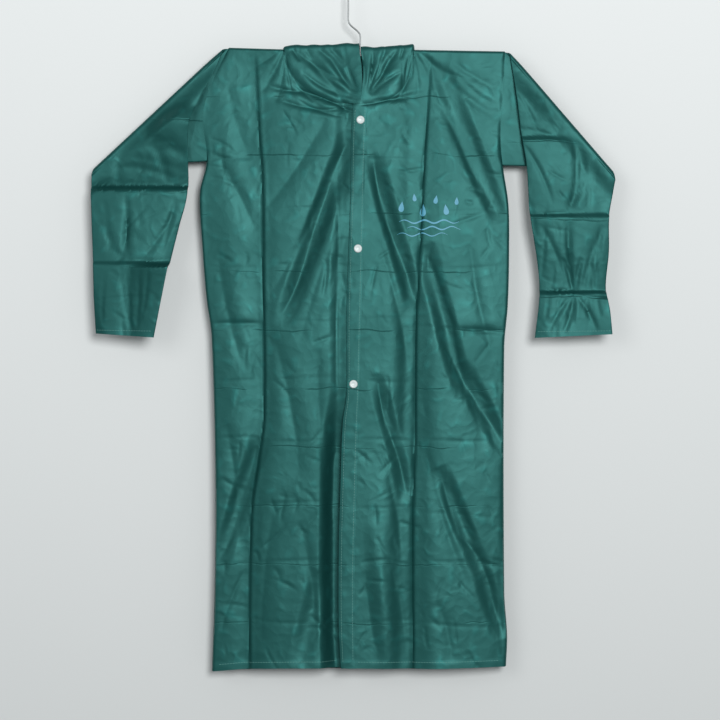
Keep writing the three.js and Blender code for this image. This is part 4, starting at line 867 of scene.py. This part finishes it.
def sleeve_points(sleeve, creases):
    side = sleeve["side"]
    shoulder = RIGHT_SHOULDER if side < 0 else LEFT_SHOULDER
    underarm = RIGHT_UNDERARM if side < 0 else LEFT_UNDERARM
    edge = right_edge if side < 0 else left_edge
    inner, outer = curve_through(sleeve["inner"]), curve_through(sleeve["outer"])
    half_at, middle_at = (curve_through(sleeve[key]) for key in ("half", "middle"))
    lean_z = [-(row + GRID_TOP) * CELL for row, _ in sleeve["lean"]][::-1]
    lean_by = [by for _, by in sleeve["lean"]][::-1]
    turn_column, turn_row, turn_slope = sleeve["turned"]
    (fold_x, fold_z), (end_x, end_z) = sleeve["fold"]
    fold_length = math.hypot(end_x - fold_x, end_z - fold_z)
    way = ((end_x - fold_x) / fold_length, (end_z - fold_z) / fold_length)
    out = (side * abs(way[1]), abs(way[0]))

    def on_fold(point):
        return (point[0] - fold_x) * way[0] + (point[1] - fold_z) * way[1]

    def bend_radius(distance):
        return mix(BEND_RADIUS_TOP, BEND_RADIUS, quarter(np.clip(distance / 60, 0, 1)))

    root_end, hang_top = on_fold(sleeve["root_end"]), on_fold(sleeve["hang_top"])
    outer_top = sleeve["outer"][0][0]
    hang_end = on_fold((float(outer(outer_top)), outer_top))
    rings = []

    def leaning(x, z):
        past = x - (turn_column - GRID_LEFT) * CELL
        below = smooth((-(turn_row + GRID_TOP) * CELL - z) / 6)
        slanted = z + side * sleeve["slant"] * (x - fold_x - side * 80) * smooth((z + 286) / 60)
        return np.interp(slanted, lean_z, lean_by) + turn_slope * np.maximum(past, 0) * below

    def add_ring(length, roll, half, place, crumple):
        shares = tube_shares(length, roll)
        share = np.concatenate([shares, shares[-2:0:-1]])
        sign = np.where(np.arange(len(share)) < len(shares), -1, 1)
        distance = share * length
        rounded = quarter(np.minimum(distance, length - distance) / roll)
        flat = place(share, np.zeros_like(share))
        dents = crumple * creases_at(flat[..., 0], flat[..., 2], creases) * rounded
        depth = half(share) * rounded - np.where(sign > 0, 1, 0.5) * dents
        ends = (share == 0) | (share == 1)
        rings.append(place(share, sign * np.where(ends, 0, np.maximum(depth, 0.15))))

    for reach in np.linspace(0, 1, 34):
        length = mix(shoulder[1] - underarm[1], root_end, reach)

        def root(share, w, reach=reach):
            arm_z = mix(shoulder[1], underarm[1], share)
            arm_x = edge(arm_z) + side * SEAM
            x = mix(arm_x, fold_x + way[0] * root_end * share, reach)
            z = mix(arm_z, fold_z + way[1] * root_end * share, reach)
            return np.stack([x, w, z], -1)

        def root_half(share, reach=reach):
            return SLEEVE_ROOT_DEPTH + mix(SLEEVE_ROOT_SWELL * np.sin(np.pi * share), 0.4, reach)

        add_ring(length, SLEEVE_END_ROLL, root_half, root, 0.7 * smooth(reach * 4) * smooth((1 - reach) * 4))
    for turn in np.linspace(0, 1, 13)[1:]:
        start, end = hang_top * turn, mix(root_end, hang_end, turn)

        def bend(share, w, turn=turn, start=start, end=end):
            distance = mix(start, end, share)
            radius = bend_radius(distance)
            reach = (radius + w) * math.sin(math.pi * turn)
            x = fold_x + way[0] * distance + out[0] * reach
            z = fold_z + way[1] * distance + out[1] * reach
            return np.stack([x, (radius + w) * math.cos(math.pi * turn) - radius, z], -1)

        def bend_half(share):
            return SLEEVE_ROOT_DEPTH + 0.4 * smooth(share * 8)

        add_ring(end - start, SLEEVE_END_ROLL, bend_half, bend, 0)
    for hang in (np.linspace(0, 1, 150) ** 1.1)[1:]:
        inner_z = mix(sleeve["inner"][0][0], sleeve["inner"][-1][0], hang)
        outer_z = mix(sleeve["outer"][0][0], sleeve["outer"][-1][0], hang)
        from_x, to_x = float(inner(inner_z)), float(outer(outer_z))
        settle = smooth(hang / 0.15)

        def hanging(share, w, hang=hang, a=(from_x, inner_z), b=(to_x, outer_z), settle=settle):
            bent = 2 * bend_radius(mix(hang_top, hang_end, share))
            x, z = mix(a[0], b[0], share), mix(a[1], b[1], share)
            y = -mix(bent, middle_at(hang), settle) - settle * leaning(x, z) - w
            return np.stack([x, y, z], -1)

        length = math.hypot(to_x - from_x, outer_z - inner_z)
        half = 0.5 * float(half_at(hang))

        def hanging_half(share, half=half):
            return 0.5 + half * (1 - np.abs(2 * share - 1) ** 3)

        add_ring(length, 2, hanging_half, hanging, smooth(hang * 9))
    return np.stack(rings)


sleeve_right_points = sleeve_points(RIGHT_SLEEVE, RIGHT_SLEEVE_CREASES)
sleeve_left_points = sleeve_points(LEFT_SLEEVE, LEFT_SLEEVE_CREASES)
sleeve_right = grid_object("film_sleeve_right", sleeve_right_points[:, ::-1], closed=True)
sleeve_left = grid_object("film_sleeve_left", sleeve_left_points, closed=True)


# %% [markdown]
# ## Stitching
#
# Short stitches of 2.6 mm run beside both edges of the band, above the hem and above the cuffs. Each is a
# small spindle that lies on the film.

# %% Stitches
STITCH_LENGTH = 2.6
STITCH_GAP = 1.2
STITCH_RADIUS = 0.28
STITCH_FLATNESS = 0.8
STITCH_LIFT = 0.12
STITCH_SIDES = 6
STITCH_RINGS = [(-0.5, 0.35), (-0.3, 1.0), (0.3, 1.0), (0.5, 0.35)]
HEM_STITCH_RISE = 9
CUFF_STITCH_RISE = 8


def stitches(name, lines):
    """Stitches along lines of points in millimetres, given with the way out of the film."""
    points, faces = [], []
    for line, outward in lines:
        steps = np.linalg.norm(np.diff(line, axis=0), axis=1)
        way = np.concatenate([[0], np.cumsum(steps)])
        for at in np.arange(STITCH_LENGTH, way[-1] - STITCH_LENGTH, STITCH_LENGTH + STITCH_GAP):
            here = np.array([np.interp(at, way, line[:, n]) for n in range(3)])
            ahead = np.array([np.interp(at + 0.5, way, line[:, n]) for n in range(3)])
            along = (ahead - here) / np.linalg.norm(ahead - here)
            across = np.cross(along, outward)
            across /= np.linalg.norm(across)
            up = np.cross(across, along)
            first = len(points)
            for place, thick in STITCH_RINGS:
                middle = here + place * STITCH_LENGTH * along
                for k in range(STITCH_SIDES):
                    turn = 2 * math.pi * k / STITCH_SIDES
                    round_it = math.cos(turn) * across + math.sin(turn) * up * STITCH_FLATNESS
                    rim = STITCH_RADIUS * thick * round_it
                    points.append(middle + rim + STITCH_LIFT * np.array(outward))
            faces += grid_faces(len(STITCH_RINGS), STITCH_SIDES, True, first)
            faces.append(tuple(range(first + STITCH_SIDES - 1, first - 1, -1)))
            faces.append(tuple(range(len(points) - STITCH_SIDES, len(points))))
    return face_outwards(object_from(name, points, faces))


def line_on(field, facing, x, z, lift=0.0):
    y = facing * (field(x, z) + lift)
    return np.stack([x, y, z], -1)


def hem_stitches(name, field, facing, hem, low_x, high_x):
    x = np.linspace(low_x, high_x, 160)
    return stitches(name, [(line_on(field, facing, x, hem(x) + HEM_STITCH_RISE), (0, facing, 0))])


down = np.linspace(-186, -958, 260)
band_lines = [
    (line_on(front_at, -1, mix(opening_edge(down), band_edge(down), s), down, BAND_OUT), (0, -1, 0))
    for s in (0.16, 0.86)
]
band_stitches = stitches("stitches_placket", band_lines)
hem_left_stitches = hem_stitches("stitches_hem_left", front_at, -1, front_hem, -4, 196)
hem_right_stitches = hem_stitches("stitches_hem_right", under_front_at, -1, front_hem, -198, -32)
hem_back_stitches = hem_stitches("stitches_hem_back", back_at, 1, back_hem, -198, 196)


def cuff_lines(points):
    """The two sides of the last ring but a few, as lines, without their rolled ends."""
    heights = points[-30:, 12, 2]
    ring = points[np.argmin(np.abs(heights - (heights[-1] + CUFF_STITCH_RISE))) - 30]
    count = len(ring) // 2
    return [(ring[3 : count - 2], (0, 1, 0)), (ring[count + 4 : -3], (0, -1, 0))]


cuff_right_stitches = stitches("stitches_cuff_right", cuff_lines(sleeve_right_points))
cuff_left_stitches = stitches("stitches_cuff_left", cuff_lines(sleeve_left_points))


# %% [markdown]
# ## Print
#
# A small print in light blue sits on the left of the chest: drops of rain over three ripples. Each
# shape is a thin skin made from the front's own surface, moved out.

# %% Drops and ripples
PRINT_LIFT = 0.35
DROPS = [
    (58, -322, 7.5, 8), (76, -309, 5.5, -6), (88, -327, 8.5, 4), (106, -312, 6, 10), (120, -326, 7.5, -8),
    (135, -314, 5.5, 3),
]
RIPPLES = [(55, 138, -343, 2.4), (66, 140, -352, 2.0), (52, 122, -361, 1.6)]


def drop_shape(x, z, size, lean):
    """A drop: round below and pointed above, as rings of points from its middle outwards."""
    turns = np.linspace(0, 2 * np.pi, 29)[:-1]
    rim_x = np.sin(turns) * np.sin(np.clip(turns / 2, 0, np.pi)) ** 1.6 * size * 0.72
    rim_z = np.cos(turns) * size
    tilt = math.radians(lean)
    rim = (rim_x * math.cos(tilt) + rim_z * math.sin(tilt), rim_z * math.cos(tilt) - rim_x * math.sin(tilt))
    shares = np.linspace(0.02, 1, 7)[:, None]
    return np.stack([x + shares * rim[0], z + shares * rim[1]], -1), True


def ripple_shape(left, right, z, thick):
    """A ripple: a ribbon on a wave, thin at both ends."""
    way = np.linspace(0, 1, 64)
    middle = z + 2.2 * np.sin(way * (right - left) / 4.4)
    half = 0.5 * thick * np.sin(np.pi * np.clip(way, 0.03, 0.97)) ** 0.5
    x = mix(left, right, way)
    rows = [np.stack([x, middle + half * s], -1) for s in (-1, 0, 1)]
    return np.stack(rows), False


def print_object():
    places, faces = [], []
    for shape, closed in [drop_shape(*row) for row in DROPS] + [ripple_shape(*row) for row in RIPPLES]:
        faces += grid_faces(*shape.shape[:2], closed, sum(map(len, places)))
        places.append(shape.reshape(-1, 2))
    x, z = np.concatenate(places).T
    y = -(front_at(x, z) + PRINT_LIFT)
    return face_outwards(object_from("print_rain", np.stack([x, y, z], -1), faces))


rain_print = print_object()

# %% [markdown]
# ## Materials
#
# The film is a soft vinyl: a deep green-blue with a satin sheen, a fine grain and a papery crinkle. Its
# colour varies a little, and it is paler where a crease has stretched it.

# %% Materials
PACK_HALF_WIDTH = 0.0011
PACK_SWAY = 0.012
FILM_BEND = (0.03, 0.03, 0.03)
FACET_STRETCH = (1, 1, 0.55)
FILM_TONES = ("#195350", "#1e605d")
INK_TONES = ("#3f90ac", "#5cabc6")
# Tones of the wall, low and high: the darker low one is painted shade towards the bottom, not a colour of
# the wall.
WALL_SHADED_AND_LIT_TONES = ("#cfd3d3", "#e9eded")


def linear(hex_colour):
    parts = [int(hex_colour[k : k + 2], 16) / 255 for k in (1, 3, 5)]
    return tuple(p / 12.92 if p <= 0.04045 else ((p + 0.055) / 1.055) ** 2.4 for p in parts) + (1,)


def new_material(name):
    material = bpy.data.materials.new(name)
    material.use_nodes = True
    return material, node(material, "ShaderNodeTexCoord").outputs["Object"]


def fill(material, made, inputs):
    """Give a node its inputs: a value each, or another node's output to link."""
    for key, value in inputs.items():
        if isinstance(value, bpy.types.NodeSocket):
            material.node_tree.links.new(value, made.inputs[key])
        else:
            made.inputs[key].default_value = value


def shade(material, inputs):
    fill(material, material.node_tree.nodes["Principled BSDF"], inputs)
    return material


def node(material, kind, inputs=None, **settings):
    """Add a node and set its properties and its inputs."""
    made = material.node_tree.nodes.new(kind)
    for key, value in settings.items():
        setattr(made, key, value)
    fill(material, made, inputs or {})
    return made


def noise(material, place, scale, detail):
    return node(material, "ShaderNodeTexNoise", {"Vector": place, "Scale": scale, "Detail": detail})


def ranged(material, value, low, high, to_low=0.0, to_high=1.0):
    """A value's range mapped to another one."""
    inputs = {"Value": value, "From Min": low, "From Max": high, "To Min": to_low, "To Max": to_high}
    return node(material, "ShaderNodeMapRange", inputs).outputs["Result"]


def blended(material, factor, tones):
    """A colour between two tones, by a factor."""
    inputs = {"Factor": factor, 6: linear(tones[0]), 7: linear(tones[1])}
    return node(material, "ShaderNodeMix", inputs, data_type="RGBA").outputs[2]


def relief(material, height, distance, strength, below=None):
    """A surface's normal, raised by a height, over the relief below it."""
    inputs = {"Height": height, "Distance": distance, "Strength": strength}
    if below is not None:
        inputs["Normal"] = below
    return node(material, "ShaderNodeBump", inputs).outputs["Normal"]


def pack_lines(material, place, sway, clouds, start, spacing):
    """Thin level lines where the coat was folded, from a height and by a spacing, which come and go."""

    def maths(operation, a, b=0.0, c=0.0):
        return node(material, "ShaderNodeMath", {0: a, 1: b, 2: c}, operation=operation).outputs["Value"]

    height = node(material, "ShaderNodeSeparateXYZ", {"Vector": place}).outputs["Z"]
    wavy = maths("MULTIPLY_ADD", sway, PACK_SWAY, height)
    steps = maths("DIVIDE", maths("SUBTRACT", wavy, start), spacing)
    away = maths("MULTIPLY", maths("ABSOLUTE", maths("SUBTRACT", steps, maths("ROUND", steps))), spacing)
    line = maths("MAXIMUM", maths("SUBTRACT", 1.0, maths("DIVIDE", away, PACK_HALF_WIDTH)), 0.0)
    shown = ranged(material, clouds, 0.44, 0.56)
    return maths("MULTIPLY", maths("MULTIPLY", line, shown), -1.0)


def coat_film(name, start, spacing):
    material, place = new_material(name)
    clouds = noise(material, place, 14, 3).outputs["Fac"]
    sway = noise(material, place, 24, 2)
    moved = {0: sway.outputs["Color"], 1: FILM_BEND, 2: place}
    bent = node(material, "ShaderNodeVectorMath", moved, operation="MULTIPLY_ADD").outputs["Vector"]
    stretched = {0: bent, 1: FACET_STRETCH}
    drawn = node(material, "ShaderNodeVectorMath", stretched, operation="MULTIPLY").outputs["Vector"]
    facets = node(material, "ShaderNodeTexVoronoi", {"Vector": drawn, "Scale": 24})
    small_facets = node(material, "ShaderNodeTexVoronoi", {"Vector": bent, "Scale": 70})
    crinkle = node(
        material,
        "ShaderNodeTexNoise",
        {"Vector": bent, "Scale": 60, "Detail": 4, "Roughness": 0.55},
        noise_type="RIDGED_MULTIFRACTAL",
        normalize=True,
    ).outputs["Fac"]
    grain = noise(material, place, 900, 2).outputs["Fac"]
    level = pack_lines(material, place, sway.outputs["Fac"], clouds, start, spacing)
    normal = relief(material, level, 0.0008, 0.42)
    normal = relief(material, facets.outputs["Distance"], 0.0036, 0.27, normal)
    normal = relief(material, small_facets.outputs["Distance"], 0.0012, 0.24, normal)
    normal = relief(material, crinkle, 0.0018, 0.3, normal)
    normal = relief(material, grain, 0.0002, 0.15, normal)
    look = {
        "Base Color": blended(material, ranged(material, crinkle, 0.1, 0.6), FILM_TONES),
        "Roughness": ranged(material, clouds, 0.3, 0.7, 0.44, 0.52),
        "Normal": normal,
        "Metallic": 0.55,
        "Specular IOR Level": 0.3,
    }
    return shade(material, look)


def grained(name, colour, roughness, scale, detail, strength, distance=0.0001):
    """A plain material with a fine grain in its surface."""
    material, place = new_material(name)
    normal = relief(material, noise(material, place, scale, detail).outputs["Fac"], distance, strength)
    return shade(material, {"Normal": normal, "Base Color": linear(colour), "Roughness": roughness})


def wire_steel():
    material, place = new_material("galvanised_wire")
    rough = ranged(material, noise(material, place, 600, 3).outputs["Fac"], 0.3, 0.7, 0.3, 0.48)
    return shade(material, {"Roughness": rough, "Base Color": linear("#a7abac"), "Metallic": 1.0})


def printing_ink():
    material, place = new_material("printing_ink")
    tone = blended(material, noise(material, place, 180, 3).outputs["Fac"], INK_TONES)
    return shade(material, {"Base Color": tone, "Roughness": 0.5})


film = coat_film("coated_vinyl_film", -0.3262, 0.0816)
film_right = coat_film("coated_vinyl_film_right_sleeve", -0.2982, 0.1036)
film_left = coat_film("coated_vinyl_film_left_sleeve", -0.2254, 0.109)
ink = printing_ink()
thread_material = grained("sewing_thread", "#6ba39d", 0.6, 2200, 1, 0.4)
snap_material = grained("moulded_snap_plastic", "#d5e0e0", 0.32, 1500, 2, 0.15)
wire_material = wire_steel()

# %% [markdown]
# ## Every piece to its node and its cut

# %% Ride, replace and give materials
CLOTH = {
    "front_right": front_right,
    "front_left": front_left,
    "back": back,
    "sleeve_right": sleeve_right,
    "sleeve_left": sleeve_left,
    "hood_right": hood_right,
    "hood_left": hood_left,
    "placket": band,
}
for name, piece in CLOTH.items():
    piece.data.materials.append({"sleeve_right": film_right, "sleeve_left": film_left}.get(name, film))
    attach(piece, "root")
    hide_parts(name)
THREADS = [
    band_stitches, hem_left_stitches, hem_right_stitches, hem_back_stitches, cuff_right_stitches,
    cuff_left_stitches,
]
for piece in [*THREADS, rain_print]:
    piece.data.materials.append(ink if piece is rain_print else thread_material)
    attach(piece, "root")
for name in ("snap_1", "snap_2", "snap_3"):
    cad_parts[name].data.materials[0] = snap_material
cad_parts["hanger"].data.materials[0] = wire_material

# %% [markdown]
# ## Wall, light and camera
#
# The coat hangs flat in front of a pale wall, whose colour is painted darker downwards as shade where the
# light falls off. A large soft light stands in front, a little to the right and above the hook, and a weaker
# one on the left opens the shadows.

# %% Wall and light
bpy.ops.mesh.primitive_plane_add(size=6, location=(0, 0.03, -0.5), rotation=(math.pi / 2, 0, 0))
wall = bpy.context.active_object
wall.name = "wall"
wall_material = grained("painted_wall", WALL_SHADED_AND_LIT_TONES[0], 0.85, 260, 2, 0.08, 0.0004)
wall_place = node(wall_material, "ShaderNodeTexCoord").outputs["Object"]
wall_height = node(wall_material, "ShaderNodeSeparateXYZ", {"Vector": wall_place}).outputs["Y"]
# Painted shade: the wall's colour darkens downwards in place of the light falling off towards the bottom.
wall_painted_shade = blended(wall_material, ranged(wall_material, wall_height, -0.6, 0.5), WALL_SHADED_AND_LIT_TONES)
shade(wall_material, {"Base Color": wall_painted_shade})
wall.data.materials.append(wall_material)


def area_light(name, place, aim, size, power):
    bpy.ops.object.light_add(type="AREA", location=place)
    light = bpy.context.active_object
    light.name = name
    light.data.shape = "DISK"
    light.data.size = size
    light.data.energy = power
    light.rotation_euler = (Vector(aim) - Vector(place)).to_track_quat("-Z", "Y").to_euler()
    return light


area_light("key", (0.95, -4.8, 0.32), (0, 0, -0.5), 1.6, 158)
area_light("fill", (-2.0, -3.4, 0.4), (0, 0, -0.55), 2.0, 24)
world = bpy.data.worlds.new("studio") if bpy.context.scene.world is None else bpy.context.scene.world
bpy.context.scene.world = world
world.use_nodes = True
world.node_tree.nodes["Background"].inputs["Color"].default_value = linear("#f2f5f6")
world.node_tree.nodes["Background"].inputs["Strength"].default_value = 0.3
bpy.context.scene.view_settings.view_transform = "Standard"

# %% Camera
VIEW_WIDTH = 1.008
VIEW_DISTANCE = 3.5
VIEW_HEIGHT = -0.5362
SENSOR = 36
bpy.ops.object.camera_add(location=(0, -VIEW_DISTANCE, VIEW_HEIGHT), rotation=(math.pi / 2, 0, 0))
camera = bpy.context.active_object
camera.data.sensor_width = SENSOR
camera.data.lens = SENSOR * VIEW_DISTANCE / VIEW_WIDTH
bpy.context.scene.camera = camera
